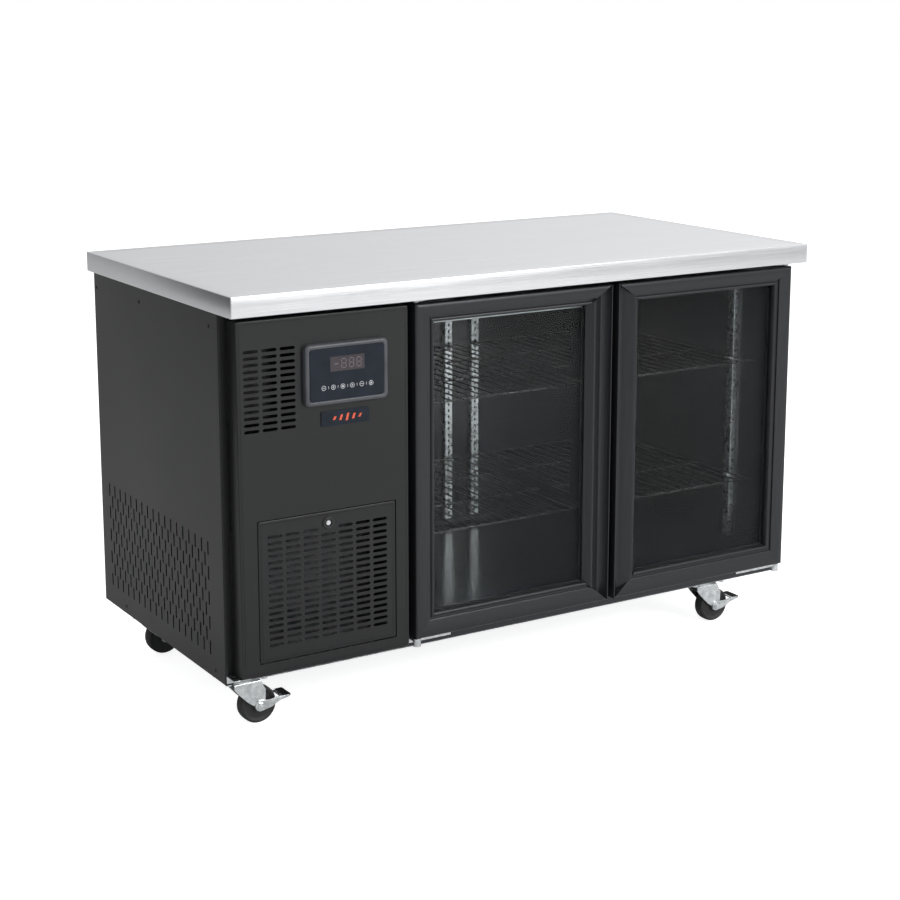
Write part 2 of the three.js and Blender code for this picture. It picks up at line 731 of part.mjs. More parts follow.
function addCondenser(parent) {
  const { width, height, depth } = condenser;
  const core = block(-width / 2, width / 2, 0, depth, 0, height);
  const bends = [];
  for (let z = 30; z < height - 20; z += 60) {
    bends.push(block(-width / 2 - 12, -width / 2 + 1, depth / 2 - 4, depth / 2 + 4, z, z + 24));
  }
  piece(parent, 'condenser', join(core, ...bends), finishes.paleSteel(), machineCentre, condenserFront, machineFloor);
}

// Fan plate with a round throat; two bars behind it carry the motor.
function addFanMotor(parent) {
  const half = condenser.width / 2;
  const centre = condenser.height / 2;
  const gap = 34;
  const plate = cut(
    block(-half, half, 0, skin, 0, condenser.height),
    rodAlongY(coolingFan.radius + 5, -5, 5, 0, centre, 24));
  const posts = [-half + 1, half - 7].map((x) => block(x, x + 6, skin - 0.5, gap + 3, centre - 8, centre + 8));
  const bar = block(-half + 1, half - 1, gap, gap + 3, centre - 8, centre + 8);
  const motor = rodAlongY(36, gap + 1, gap + 60, 0, centre, 20);
  const shaft = rodAlongY(3, coolingFan.depth + 8 + clearance, gap + 1, 0, centre, 10);
  const mesh = join(plate, ...posts, bar, motor, shaft);
  piece(parent, 'condenser_fan_motor', mesh, finishes.blackPlastic(), machineCentre, condenserBack + 2, machineFloor);
}

function addCoolingFan(parent) {
  const wheel = fanWheel(coolingFan.radius, 22, coolingFan.depth, 5, 0.5);
  const y = condenserBack + 2 + 18;
  piece(parent, 'condenser_fan', wheel, finishes.blackPlastic(), machineCentre, y, machineFloor + condenser.height / 2);
}

function addCompressor(parent) {
  const profile = [[0, 0], [58, 0], [74, 14], [78, 40], [78, 96], [72, 134], [48, 160], [0, 170]];
  const shell = new THREE.LatheGeometry(profile.map(([r, h]) => new THREE.Vector2(r, h)), 16);
  const domed = shell.rotateX(Math.PI / 2).translate(0, 0, 10);
  const plate = block(-100, 100, -70, 70, 6, 11);
  const feet = [[-85, -55], [85, -55], [-85, 55], [85, 55]].map(([x, y]) => rodAlongZ(10, 0, 7, x, y, 10));
  const terminals = block(-22, 22, -94, -70, 60, 110);
  const body = join(domed, plate, terminals, ...feet);
  piece(parent, 'compressor', body, finishes.blackSheet(), machineCentre, cabinetBack - 170, machineFloor);
}

function addDripTray(parent) {
  const tray = cut(block(0, 150, 0, 60, 0, 30), block(skin, 150 - skin, skin, 60 - skin, skin, 31));
  piece(parent, 'drip_tray', tray, finishes.greyPlastic(), cabinetLeft + 30, cabinetBack - 80, machineFloor);
}

function addControlBox(parent) {
  const box = { width: 96, depth: 74, height: 160 };
  const shape = block(0, box.width, 0, box.depth, 0, box.height);
  const z = panelTop - 210;
  piece(parent, 'control_box', shape, finishes.paleSteel(), cabinetLeft + 22, cabinetFront + 20, z);
}

const cordInset = 60;
const cordRise = 56;

// Threaded gland where the supply lead leaves the back of the machine compartment.
function addCordInlet(parent) {
  const nut = rodAlongY(13, clearance, 12, 0, 0, 6);
  const throat = rodAlongY(8.5, 11, 24, 0, 0, 14);
  const bore = rodAlongY(4.5, -1, 30, 0, 0, 12);
  const z = casterHeight + cordRise;
  piece(parent, 'cord_inlet', cut(join(nut, throat), bore), finishes.blackPlastic(), cabinetLeft + cordInset, cabinetBack, z);
}

// ---------- casters ----------

const kingpinRadius = 6;
const axleRadius = 4;
const crownDrop = 16;
const crownBottom = casterHeight - crownDrop;
const crownTop = crownBottom + forkSheet;
const legInside = wheelWidth / 2 + 2;
const legOutside = legInside + forkSheet;
const leverSheet = 2.5;
const leverInside = legOutside + clearance;
const leverOutside = leverInside + leverSheet;

function casterPlate() {
  const top = casterHeight - clearance;
  const plate = block(-46, 46, -36, 36, top - 3, top);
  const race = new THREE.CylinderGeometry(27, 23, 6.5, 20).rotateX(Math.PI / 2).translate(0, 0, top - 6);
  const pin = rodAlongZ(kingpinRadius, crownBottom - 2, top - 4, 0, 0, 12);
  const rivet = rodAlongZ(kingpinRadius + 3, crownBottom - 3.5, crownBottom - clearance, 0, 0, 12);
  return join(plate, race, pin, rivet);
}

// Side view of one fork leg, in the plane of the wheel.
function legOutline() {
  const shape = new THREE.Shape();
  shape.moveTo(-22, crownTop);
  shape.lineTo(-20, crownTop - 14);
  shape.lineTo(casterTrail - 11, wheelRadius);
  shape.absarc(casterTrail, wheelRadius, 11, Math.PI, 2 * Math.PI, false);
  shape.lineTo(casterTrail + 12, crownTop - 22);
  shape.lineTo(34, crownTop);
  return shape;
}

function casterFork() {
  const legs = [-legInside, legOutside].map((back) => frontPlate(legOutline(), back, forkSheet, 4));
  const crown = block(-22, 34, -legOutside, legOutside, crownBottom, crownTop);
  const race = rodAlongZ(22, crownTop - 1, crownTop + 3, 0, 0, 20);
  const bore = rodAlongZ(kingpinRadius + hingeRunningGap, crownBottom - 5, crownTop + 10, 0, 0, 12);
  const end = leverOutside + clearance;
  const axle = rodAlongY(axleRadius, -end - 1, end + 1, casterTrail, wheelRadius, 12);
  const nuts = [[-end - 5, -end], [end, end + 5]].map(
    ([y0, y1]) => rodAlongY(7, y0, y1, casterTrail, wheelRadius, 6));
  return cut(join(crown, ...legs, race, axle, ...nuts), bore);
}

// Hub, tread and rim turned about y, with a running bore for the axle.
function casterWheel() {
  const half = wheelWidth / 2;
  const bore = axleRadius + hingeRunningGap;
  const profile = [
    [bore, -half], [13, -half], [15, -half + 3], [28, -half + 3], [wheelRadius - 3, -half + 1],
    [wheelRadius, -half + 6], [wheelRadius, half - 6], [wheelRadius - 3, half - 1],
    [28, half - 3], [15, half - 3], [13, half], [bore, half], [bore, -half]];
  const points = profile.map(([r, y]) => new THREE.Vector2(r, y));
  return new THREE.LatheGeometry(points, 20);
}

// Side view of a lever arm: a boss on the axle, and a shank out to the foot past the tread.
const leverReach = 64;
const leverRise = 10;
const footLength = 22;

function leverOutline() {
  const boss = 11;
  const shape = new THREE.Shape();
  shape.absarc(0, 0, boss, 0.45 * Math.PI, 1.55 * Math.PI, false);
  shape.lineTo(leverReach - footLength, leverRise - 9);
  shape.lineTo(leverReach, leverRise - 4);
  shape.lineTo(leverReach, leverRise);
  shape.lineTo(leverReach - footLength, leverRise);
  return shape;
}

// Brake lever that turns on the axle outside the fork: an arm on each side and a foot plate across their ends.
function brakePedal() {
  const arms = [-leverInside, leverOutside].map((back) => frontPlate(leverOutline(), back, leverSheet, 4));
  const foot = block(leverReach - footLength, leverReach, -leverOutside, leverOutside, leverRise - 2, leverRise + 2);
  const bore = rodAlongY(axleRadius + hingeRunningGap, -leverOutside - 1, leverOutside + 1, 0, 0, 12);
  return cut(join(...arms, foot), bore);
}

function addCaster(parent, place, x, y, braked) {
  const group = groupAt(parent, x, y, 0);
  piece(group, `caster_plate_${place}`, casterPlate(), finishes.zinc());
  piece(group, `caster_fork_${place}`, casterFork(), finishes.zinc());
  piece(group, `caster_wheel_${place}`, casterWheel(), finishes.rubber(), casterTrail, 0, wheelRadius);
  if (braked) piece(group, `brake_pedal_${place}`, brakePedal(), finishes.zinc(), casterTrail, 0, wheelRadius);
}

function addCasters(parent) {
  const left = cabinetLeft + 51;
  const right = cabinetRight - 177;
  const front = cabinetFront + 48;
  const back = cabinetBack - 105;
  addCaster(parent, 'front_left', left, front, true);
  addCaster(parent, 'front_right', right, front, true);
  addCaster(parent, 'back_left', left, back, false);
  addCaster(parent, 'back_right', right, back, false);
}

// ---------- assembly ----------

const refrigerator = new THREE.Group();
addWorktop(refrigerator);
addVentedSidePanel(refrigerator);
addPlainSidePanel(refrigerator);
addBackPanel(refrigerator);
addBaseTray(refrigerator);
addInsulatedBody(refrigerator);
addInnerLiner(refrigerator);
addMullion(refrigerator);
addFrontPanel(refrigerator);
addServiceGrille(refrigerator);
addController(refrigerator);
addBadgePlate(refrigerator);
addFrontPanelBracket(refrigerator);
addDoor(refrigerator, 'left', leftDoorEdge, 1);
addDoor(refrigerator, 'right', rightDoorEdge, -1);
addHingeBrackets(refrigerator, 'left', leftDoorEdge, 1);
addHingeBrackets(refrigerator, 'right', rightDoorEdge, -1);
addShelves(refrigerator);
addPilasters(refrigerator);
addLampStrip(refrigerator);
addEvaporator(refrigerator);
addCondenser(refrigerator);
addFanMotor(refrigerator);
addCoolingFan(refrigerator);
addCompressor(refrigerator);
addDripTray(refrigerator);
addControlBox(refrigerator);
addCordInlet(refrigerator);
addCasters(refrigerator);

export default refrigerator;
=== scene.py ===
import math

import bmesh
import bpy
from mathutils import Matrix, Vector


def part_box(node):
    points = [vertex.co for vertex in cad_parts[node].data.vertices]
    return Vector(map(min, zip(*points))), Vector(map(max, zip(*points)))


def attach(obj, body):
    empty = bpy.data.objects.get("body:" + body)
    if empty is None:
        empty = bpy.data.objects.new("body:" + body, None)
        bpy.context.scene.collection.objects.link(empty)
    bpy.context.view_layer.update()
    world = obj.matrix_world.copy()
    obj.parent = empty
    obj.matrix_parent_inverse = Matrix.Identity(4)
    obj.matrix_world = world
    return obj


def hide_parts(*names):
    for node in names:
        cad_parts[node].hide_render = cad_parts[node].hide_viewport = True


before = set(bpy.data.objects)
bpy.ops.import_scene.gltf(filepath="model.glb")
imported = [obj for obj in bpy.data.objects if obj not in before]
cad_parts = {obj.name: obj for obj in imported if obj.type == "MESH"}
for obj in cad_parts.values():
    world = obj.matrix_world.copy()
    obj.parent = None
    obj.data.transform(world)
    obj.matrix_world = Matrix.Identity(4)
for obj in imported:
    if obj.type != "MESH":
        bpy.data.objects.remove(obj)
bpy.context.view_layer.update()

print("frame loaded:", len(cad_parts), "nodes")


# Lengths below are in millimetres, and meshes are turned to metres when a piece is finished.
def boxOf(node):
    low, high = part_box(node)
    return Vector(low) * 1000, Vector(high) * 1000


def linear(code, alpha=1.0):
    parts = [int(code[i:i + 2], 16) / 255 for i in (1, 3, 5)]
    return (*[p / 12.92 if p <= 0.04045 else ((p + 0.055) / 1.055) ** 2.4 for p in parts], alpha)


# Adds one node, sets its fields and inputs, and links the sockets given as (node, output) pairs.
def addNode(tree, kind, inputs=None, **fields):
    node = tree.nodes.new(kind)
    for key, value in fields.items():
        setattr(node, key, value)
    for key, value in (inputs or {}).items():
        if isinstance(value, tuple) and hasattr(value[0], "outputs"):
            tree.links.new(value[0].outputs[value[1]], node.inputs[key])
        else:
            node.inputs[key].default_value = value
    return node


def newMaterial(name, **sockets):
    material = bpy.data.materials.new(name)
    material.use_nodes = True
    shader = material.node_tree.nodes["Principled BSDF"]
    for key, value in sockets.items():
        shader.inputs[key.replace("_", " ")].default_value = value
    return material, material.node_tree, shader


# Object coordinates stretched by the number of pattern cells per metre along each axis.
def patternSpace(tree, perMetre):
    coords = addNode(tree, "ShaderNodeTexCoord")
    return addNode(tree, "ShaderNodeMapping", {"Vector": (coords, "Object"), "Scale": perMetre})


def spread(tree, source, output, low, high, toLow, toHigh):
    return addNode(tree, "ShaderNodeMapRange", {
        "Value": (source, output), "From Min": low, "From Max": high, "To Min": toLow, "To Max": toHigh})


def tint(tree, source, output, first, second, start=0.3, end=0.7):
    ramp = addNode(tree, "ShaderNodeValToRGB", {"Fac": (source, output)})
    ramp.color_ramp.elements[0].position = start
    ramp.color_ramp.elements[0].color = linear(first)
    ramp.color_ramp.elements[1].position = end
    ramp.color_ramp.elements[1].color = linear(second)
    return ramp


# Noise in the piece's own space, with so many cells per metre.
def noisePattern(tree, perMetre, detail, **more):
    cells = perMetre if isinstance(perMetre, tuple) else (perMetre, perMetre, perMetre)
    return addNode(tree, "ShaderNodeTexNoise", {
        "Vector": (patternSpace(tree, cells), "Vector"), "Scale": 1.0, "Detail": detail, **more})


def colorFrom(tree, shader, source, output, first, second, start=0.3, end=0.7):
    color = tint(tree, source, output, first, second, start, end)
    tree.links.new(color.outputs["Color"], shader.inputs["Base Color"])


def roughnessFrom(tree, shader, source, output, low, high, smooth, dull):
    rough = spread(tree, source, output, low, high, smooth, dull)
    tree.links.new(rough.outputs["Result"], shader.inputs["Roughness"])


def bumped(tree, shader, source, output, strength, distance):
    bump = addNode(tree, "ShaderNodeBump", {
        "Height": (source, output), "Strength": strength, "Distance": distance})
    tree.links.new(bump.outputs["Normal"], shader.inputs["Normal"])
    return bump


# 304 stainless sheet, brushed along its length: fine straight lines that drag the light out sideways.
def brushedStainless():
    material, tree, shader = newMaterial("stainless_brushed", Metallic=1.0, Roughness=0.3)
    lines = noisePattern(tree, (6, 900, 900), 3.0, Roughness=0.6)
    clouds = noisePattern(tree, (1.2, 3, 3), 2.0)
    colorFrom(tree, shader, lines, "Fac", "#c9cacc", "#e2e3e5")
    rough = spread(tree, lines, "Fac", 0.3, 0.7, 0.27, 0.36)
    smudge = spread(tree, clouds, "Fac", 0.3, 0.7, -0.03, 0.04)
    both = addNode(tree, "ShaderNodeMath", {0: (rough, "Result"), 1: (smudge, "Result")}, operation="ADD")
    tree.links.new(both.outputs["Value"], shader.inputs["Roughness"])
    bumped(tree, shader, lines, "Fac", 0.12, 0.0001)
    return material


# Powder coat on sheet steel: even satin colour with a fine orange-peel skin, a ripple about every 1.5 mm.
def powderCoat(name, dark, light, roughness, shine=0.35):
    material, tree, shader = newMaterial(name, Metallic=0.0, IOR=1.5, Specular_IOR_Level=shine)
    peel = noisePattern(tree, 650, 2.0)
    drift = noisePattern(tree, 2.5, 4.0)
    colorFrom(tree, shader, drift, "Fac", dark, light)
    roughnessFrom(tree, shader, drift, "Fac", 0.3, 0.7, roughness - 0.03, roughness + 0.04)
    bumped(tree, shader, peel, "Fac", 0.12, 0.0002)
    return material


# Dark anodised aluminium extrusion: satin, with faint draw lines that run along the bar.
def anodisedExtrusion(name, along, dark, light):
    material, tree, shader = newMaterial(name, Metallic=0.55)
    perMetre = (14, 1400, 1400) if along == "x" else (1400, 1400, 14)
    draw = addNode(tree, "ShaderNodeTexNoise", {
        "Vector": (patternSpace(tree, perMetre), "Vector"), "Scale": 1.0, "Detail": 2.0})
    colorFrom(tree, shader, draw, "Fac", dark, light)
    roughnessFrom(tree, shader, draw, "Fac", 0.3, 0.7, 0.3, 0.37)
    bumped(tree, shader, draw, "Fac", 0.06, 0.0001)
    return material


# Coated inner sheet, dark blue-black and glossy enough to mirror the uprights in the room's floor.
def coatedLiner():
    material, tree, shader = newMaterial("liner_coated_sheet", Metallic=0.0, IOR=1.5)
    shader.inputs["Coat Weight"].default_value = 0.15
    shader.inputs["Coat Roughness"].default_value = 0.08
    wave = noisePattern(tree, 4, 3.0)
    colorFrom(tree, shader, wave, "Fac", "#080b10", "#0f141b")
    roughnessFrom(tree, shader, wave, "Fac", 0.3, 0.7, 0.16, 0.24)
    bumped(tree, shader, wave, "Fac", 0.04, 0.001)
    return material


# Bright zinc plate on pressed steel: cool silver with cloudy passivation and a soft sheen.
def zincPlate():
    material, tree, shader = newMaterial("steel_zinc_plated", Metallic=1.0)
    cloud = noisePattern(tree, 90, 4.0)
    colorFrom(tree, shader, cloud, "Fac", "#b4b8ba", "#dfe2e4")
    roughnessFrom(tree, shader, cloud, "Fac", 0.3, 0.7, 0.2, 0.36)
    bumped(tree, shader, cloud, "Fac", 0.02, 0.0001)
    return material


# Pale satin paint on the coving at the foot of the walls: a painted highlight, the light band round the dark
# room where the curved foot catches the light.
def paleCovePaintedHighlight():
    material, tree, shader = newMaterial("cove_pale_painted_highlight", Metallic=0.2)
    wear = noisePattern(tree, 14, 4.0)
    colorFrom(tree, shader, wear, "Fac", "#a9adb1", "#c2c5c9")
    roughnessFrom(tree, shader, wear, "Fac", 0.3, 0.7, 0.34, 0.46)
    return material


# Hot-dip galvanised sheet: flat crystals about 12 mm across, each a slightly different grey.
def galvanisedSheet():
    material, tree, shader = newMaterial("steel_galvanised_spangle", Metallic=0.9)
    spangle = addNode(tree, "ShaderNodeTexVoronoi", {
        "Vector": (patternSpace(tree, (85, 85, 85)), "Vector"), "Scale": 1.0})
    grey = addNode(tree, "ShaderNodeSeparateColor", {"Color": (spangle, "Color")})
    colorFrom(tree, shader, grey, "Red", "#8d9295", "#b3b7ba", 0.0, 1.0)
    roughnessFrom(tree, shader, grey, "Green", 0.0, 1.0, 0.32, 0.5)
    return material


# Injection-moulded plastic with a fine spark-eroded grain, about a millimetre from hump to hump.
def mouldedPlastic(name, dark, light, roughness):
    material, tree, shader = newMaterial(name, Metallic=0.0, IOR=1.46)
    grain = noisePattern(tree, 1100, 2.0)
    drift = noisePattern(tree, 22, 2.0)
    colorFrom(tree, shader, drift, "Fac", dark, light)
    roughnessFrom(tree, shader, grain, "Fac", 0.3, 0.7, roughness - 0.05, roughness + 0.06)
    bumped(tree, shader, grain, "Fac", 0.15, 0.0002)
    return material


# Black tread and seal rubber: dull, slightly dusty on its high spots.
def mouldedRubber():
    material, tree, shader = newMaterial("rubber_moulded", Metallic=0.0, IOR=1.52)
    dust = noisePattern(tree, 140, 5.0)
    colorFrom(tree, shader, dust, "Fac", "#0d0d0e", "#202021", 0.35, 0.8)
    roughnessFrom(tree, shader, dust, "Fac", 0.3, 0.7, 0.5, 0.72)
    bumped(tree, shader, dust, "Fac", 0.1, 0.0003)
    return material


# Plastic-dipped steel wire: thick glossy black skin with soft lumps where it ran.
def dippedWire():
    material, tree, shader = newMaterial("wire_plastic_dipped", Metallic=0.0, IOR=1.5)
    shader.inputs["Coat Weight"].default_value = 0.5
    shader.inputs["Coat Roughness"].default_value = 0.12
    lumps = noisePattern(tree, 300, 1.0)
    colorFrom(tree, shader, lumps, "Fac", "#0c0c0d", "#17181a")
    roughnessFrom(tree, shader, lumps, "Fac", 0.3, 0.7, 0.2, 0.34)
    bumped(tree, shader, lumps, "Fac", 0.1, 0.0003)
    return material


# Clear glass with the faintest green-grey body. Its index is far below real glass (1.5), which keeps the
# pale floor's reflections from filling the panes.
def floatGlass():
    material, tree, shader = newMaterial("glass_float_clear", Roughness=0.0, IOR=1.13)
    shader.inputs["Transmission Weight"].default_value = 1.0
    film = noisePattern(tree, 7, 3.0)
    colorFrom(tree, shader, film, "Fac", "#f9fbfb", "#fdfefe")
    clear = addNode(tree, "ShaderNodeBsdfTransparent", {"Color": linear("#f4f7f7")})
    rays = addNode(tree, "ShaderNodeLightPath")
    mix = addNode(tree, "ShaderNodeMixShader", {
        0: (rays, "Is Shadow Ray"), 1: (shader, "BSDF"), 2: (clear, "BSDF")})
    tree.links.new(mix.outputs["Shader"], tree.nodes["Material Output"].inputs["Surface"])
    return material


# Satin polyester label over touch keys: deep blue-black, with hardly any texture.
def satinLabel():
    material, tree, shader = newMaterial("label_satin_polyester", Metallic=0.0, Specular_IOR_Level=0.18)
    fade = noisePattern(tree, 30, 2.0)
    colorFrom(tree, shader, fade, "Fac", "#131922", "#1a212b")
    roughnessFrom(tree, shader, fade, "Fac", 0.3, 0.7, 0.3, 0.38)
    return material


# Flat screen-printed ink, a little uneven in cover.
def printedInk(name, dark, light):
    material, tree, shader = newMaterial(name, Metallic=0.0, Roughness=0.5)
    cover = noisePattern(tree, 700, 2.0)
    colorFrom(tree, shader, cover, "Fac", dark, light)
    return material


# Rolled aluminium fin stock and bent tube: pale, with a dusty dulling.
def finStock(name, dark, light, metallic=0.9):
    material, tree, shader = newMaterial(name, Metallic=metallic)
    dust = noisePattern(tree, 60, 4.0)
    colorFrom(tree, shader, dust, "Fac", dark, light)
    roughnessFrom(tree, shader, dust, "Fac", 0.3, 0.7, 0.3, 0.5)
    return material


# Grey back-coat, matt and a little blotchy: the foam body's outside shows it in place of a skin of its own.
def backCoatedSheet():
    material, tree, shader = newMaterial("steel_back_coat_grey", Metallic=0.0, Specular_IOR_Level=0.3)
    blotch = noisePattern(tree, 12, 4.0)
    colorFrom(tree, shader, blotch, "Fac", "#2b2d2f", "#3a3c3e")
    roughnessFrom(tree, shader, blotch, "Fac", 0.3, 0.7, 0.5, 0.62)
    return material


paint = {
    "stainless": brushedStainless(),
    # Side and front take the same black powder coat; the front copy, used on the machine front and the
    # grille, is a little lighter, which is painted light.
    "sideCoat": powderCoat("steel_powder_coat_black", "#0d0e0f", "#121314", 0.38),
    "frontCoatLit": powderCoat("steel_powder_coat_charcoal", "#121314", "#18191a", 0.36),
    "frameAcross": anodisedExtrusion("aluminium_anodised_rail", "x", "#28292c", "#333437"),
    "frameUp": anodisedExtrusion("aluminium_anodised_stile", "z", "#28292c", "#333437"),
    "liner": coatedLiner(),
    "zinc": zincPlate(),
    # Pale paint on the coved foot of the lining: a painted highlight.
    "covePaintedHighlight": paleCovePaintedHighlight(),
    "galvanised": galvanisedSheet(),
    "blackPlastic": mouldedPlastic("nylon_moulded_black", "#111112", "#1b1b1d", 0.45),
    "greyPlastic": mouldedPlastic("abs_moulded_grey", "#393b40", "#44464b", 0.38),
    "rubber": mouldedRubber(),
    "wire": dippedWire(),
    "glass": floatGlass(),
    "label": satinLabel(),
    "display": mouldedPlastic("acrylic_display_window", "#2b262b", "#332d32", 0.3),
    "segment": printedInk("display_segment_unlit", "#5b5057", "#665b61"),
    "whiteInk": printedInk("ink_screened_white", "#b9bcc0", "#d4d6d9"),
    "orangeInk": printedInk("ink_screened_orange", "#c1452a", "#d65a3b"),
    "fin": finStock("aluminium_fin_stock", "#a4a8ab", "#c8ccce"),
    "copper": finStock("copper_tube_drawn", "#a05a3a", "#c07a52"),
    # Black enamel: the compressor's own colour, and painted shade on the control box.
    "blackEnamelAndShade": powderCoat("steel_black_enamel_and_painted_shade", "#0c0c0d", "#141415", 0.25),
    "foamSkin": backCoatedSheet(),
    "lamp": mouldedPlastic("polycarbonate_diffuser", "#dfe2e5", "#eef0f2", 0.3),
}
print("materials made:", len(paint))


# Turns a bmesh in millimetres into a finished piece that rides on its body.
def finishPiece(name, bm, body, materials, replaced=(), bevel=0.0, segments=2, smoothAngle=35):
    bmesh.ops.remove_doubles(bm, verts=bm.verts, dist=0.0005)
    bmesh.ops.recalc_face_normals(bm, faces=bm.faces)
    mesh = bpy.data.meshes.new(name)
    bm.to_mesh(mesh)
    bm.free()
    return dressMesh(name, mesh, body, materials, replaced, bevel, segments, smoothAngle)


def dressMesh(name, mesh, body, materials, replaced=(), bevel=0.0, segments=2, smoothAngle=35):
    mesh.transform(Matrix.Scale(0.001, 4))
    mesh.shade_smooth()
    mesh.set_sharp_from_angle(angle=math.radians(smoothAngle))
    mesh.materials.clear()
    for material in materials:
        mesh.materials.append(material)
    piece = bpy.data.objects.new(name, mesh)
    bpy.context.scene.collection.objects.link(piece)
    if bevel:
        modifier = piece.modifiers.new("softEdges", "BEVEL")
        modifier.width = bevel / 1000
        modifier.segments = segments
        modifier.limit_method = "ANGLE"
        modifier.angle_limit = math.radians(40)
        modifier.harden_normals = True
    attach(piece, body)
    if replaced:
        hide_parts(*replaced)
    return piece


def addBox(bm, x0, x1, y0, y1, z0, z1, materialIndex=0):
    made = bmesh.ops.create_cube(bm, size=1.0)
    size = Vector((x1 - x0, y1 - y0, z1 - z0))
    centre = Vector((x0 + x1, y0 + y1, z0 + z1)) / 2
    for v in made["verts"]:
        v.co = Vector((v.co.x * size.x, v.co.y * size.y, v.co.z * size.z)) + centre
    for face in {f for v in made["verts"] for f in v.link_faces}:
        face.material_index = materialIndex
    return made["verts"]


def addLoft(bm, rings, closed=True, capEnds=True, materialIndex=0):
    loops = [[bm.verts.new(p) for p in ring] for ring in rings]
    count = len(loops[0])
    for first, second in zip(loops, loops[1:]):
        for i in range(count if closed else count - 1):
            j = (i + 1) % count
            face = bm.faces.new((first[i], first[j], second[j], second[i]))
            face.material_index = materialIndex
    if capEnds:
        for loop in (loops[0], loops[-1]):
            bm.faces.new(loop).material_index = materialIndex
    return loops


# Points round a rectangle with round corners, as pairs.
def roundedOutline(a0, a1, b0, b1, radius, steps=6):
    points = []
    for ca, cb, start in ((a1 - radius, b1 - radius, 0), (a0 + radius, b1 - radius, 90),
                          (a0 + radius, b0 + radius, 180), (a1 - radius, b0 + radius, 270)):
        points += arcPoints(ca, cb, radius, start, start + 90, steps)
    return points


# The front outline of a box, drawn in by an inset.
def insetOutline(low, high, inset, radius, steps):
    return roundedOutline(low.x + inset, high.x - inset, low.z + inset, high.z - inset, radius, steps)


def arcPoints(ca, cb, radius, startDegrees, endDegrees, steps):
    return [(ca + radius * math.cos(math.radians(startDegrees + (endDegrees - startDegrees) * i / steps)),
             cb + radius * math.sin(math.radians(startDegrees + (endDegrees - startDegrees) * i / steps)))
            for i in range(steps + 1)]


# Turns a half profile of (radius, height) about an axis through centre; end radii of zero close the shape.
def addLathe(bm, profile, centre, axis="z", sides=32, materialIndex=0):
    place = {"z": lambda a, b, h: Vector((a, b, h)), "y": lambda a, b, h: Vector((a, h, b)),
             "x": lambda a, b, h: Vector((h, a, b))}[axis]
    rings = []
    for radius, height in profile:
        radius = max(radius, 0.001)
        rings.append([place(radius * math.cos(2 * math.pi * i / sides),
                            radius * math.sin(2 * math.pi * i / sides), height) + Vector(centre)
                      for i in range(sides)])
    addLoft(bm, rings, materialIndex=materialIndex)


# A flat shape given by an outline in two directions, pushed along the third between two depths.
def addPlate(bm, outline, low, high, plane="xz", materialIndex=0):
    place = {"xz": lambda a, b, d: (a, d, b), "yz": lambda a, b, d: (d, a, b),
             "xy": lambda a, b, d: (a, b, d)}[plane]
    addLoft(bm, [[place(a, b, low) for a, b in outline], [place(a, b, high) for a, b in outline]],
            materialIndex=materialIndex)


def hexOutline(ca, cb, acrossFlats):
    return arcPoints(ca, cb, acrossFlats / 2 / math.cos(math.radians(30)), 0, 300, 5)


# Round tube along a path of points, with its ends closed.
def addTube(bm, path, radius, sides=12, materialIndex=0):
    path = [Vector(p) for p in path]
    turns = [2 * math.pi * k / sides for k in range(sides)]
    rings = []
    side = None
    for i, point in enumerate(path):
        ahead = (path[min(i + 1, len(path) - 1)] - path[max(i - 1, 0)]).normalized()
        if side is None:
            side = ahead.orthogonal().normalized()
        side = (side - ahead * side.dot(ahead)).normalized()
        up = ahead.cross(side)
        rings.append([point + (side * math.cos(turn) + up * math.sin(turn)) * radius for turn in turns])
    addLoft(bm, rings, materialIndex=materialIndex)


# Rounds the corners of a path with short arcs.
def softPath(corners, radius, steps=5):
    corners = [Vector(c) for c in corners]
    points = [corners[0]]
    for before, corner, after in zip(corners, corners[1:], corners[2:]):
        start = corner + (before - corner).normalized() * radius
        end = corner + (after - corner).normalized() * radius
        for i in range(steps + 1):
            t = i / steps
            points.append(start * (1 - t) ** 2 + corner * 2 * t * (1 - t) + end * t ** 2)
    return points + [corners[-1]]


# Geometry Nodes helpers: sockets are set by identifier, then the result becomes a plain mesh.
def newTree(name, sockets):
    tree = bpy.data.node_groups.new(name, "GeometryNodeTree")
    tree.interface.new_socket("Geometry", in_out="INPUT", socket_type="NodeSocketGeometry")
    for label, kind, default in sockets:
        socket = tree.interface.new_socket(label, in_out="INPUT", socket_type="NodeSocket" + kind)
        if default is not None:
            socket.default_value = default
    tree.interface.new_socket("Geometry", in_out="OUTPUT", socket_type="NodeSocketGeometry")
    return tree, addNode(tree, "NodeGroupInput"), addNode(tree, "NodeGroupOutput")


def bakeTree(tree, base, values):
    holder = bpy.data.objects.new("holder", base)
    bpy.context.scene.collection.objects.link(holder)
    modifier = holder.modifiers.new("nodes", "NODES")
    modifier.node_group = tree
    names = {item.name: item.identifier for item in tree.interface.items_tree if item.in_out == "INPUT"}
    for key, value in values.items():
        modifier[names[key]] = value
    holder.update_tag()
    graph = bpy.context.evaluated_depsgraph_get()
    mesh = bpy.data.meshes.new_from_object(holder.evaluated_get(graph), depsgraph=graph)
    bpy.data.objects.remove(holder, do_unlink=True)
    return mesh


# Ends a tree of copies: they become real geometry that carries the given material.
def finishCopies(tree, given, result, copies, output="Instances"):
    real = addNode(tree, "GeometryNodeRealizeInstances", {"Geometry": (copies, output)})
    painted = addNode(tree, "GeometryNodeSetMaterial", {
        "Geometry": (real, "Geometry"), "Material": (given, "Material")})
    tree.links.new(painted.outputs["Geometry"], result.inputs["Geometry"])
    return tree


def mathNode(tree, operation, first, second=None, third=None):
    inputs = {0: first}
    if second is not None:
        inputs[1] = second
    if third is not None:
        inputs[2] = third
    return addNode(tree, "ShaderNodeMath", inputs, operation=operation), "Value"


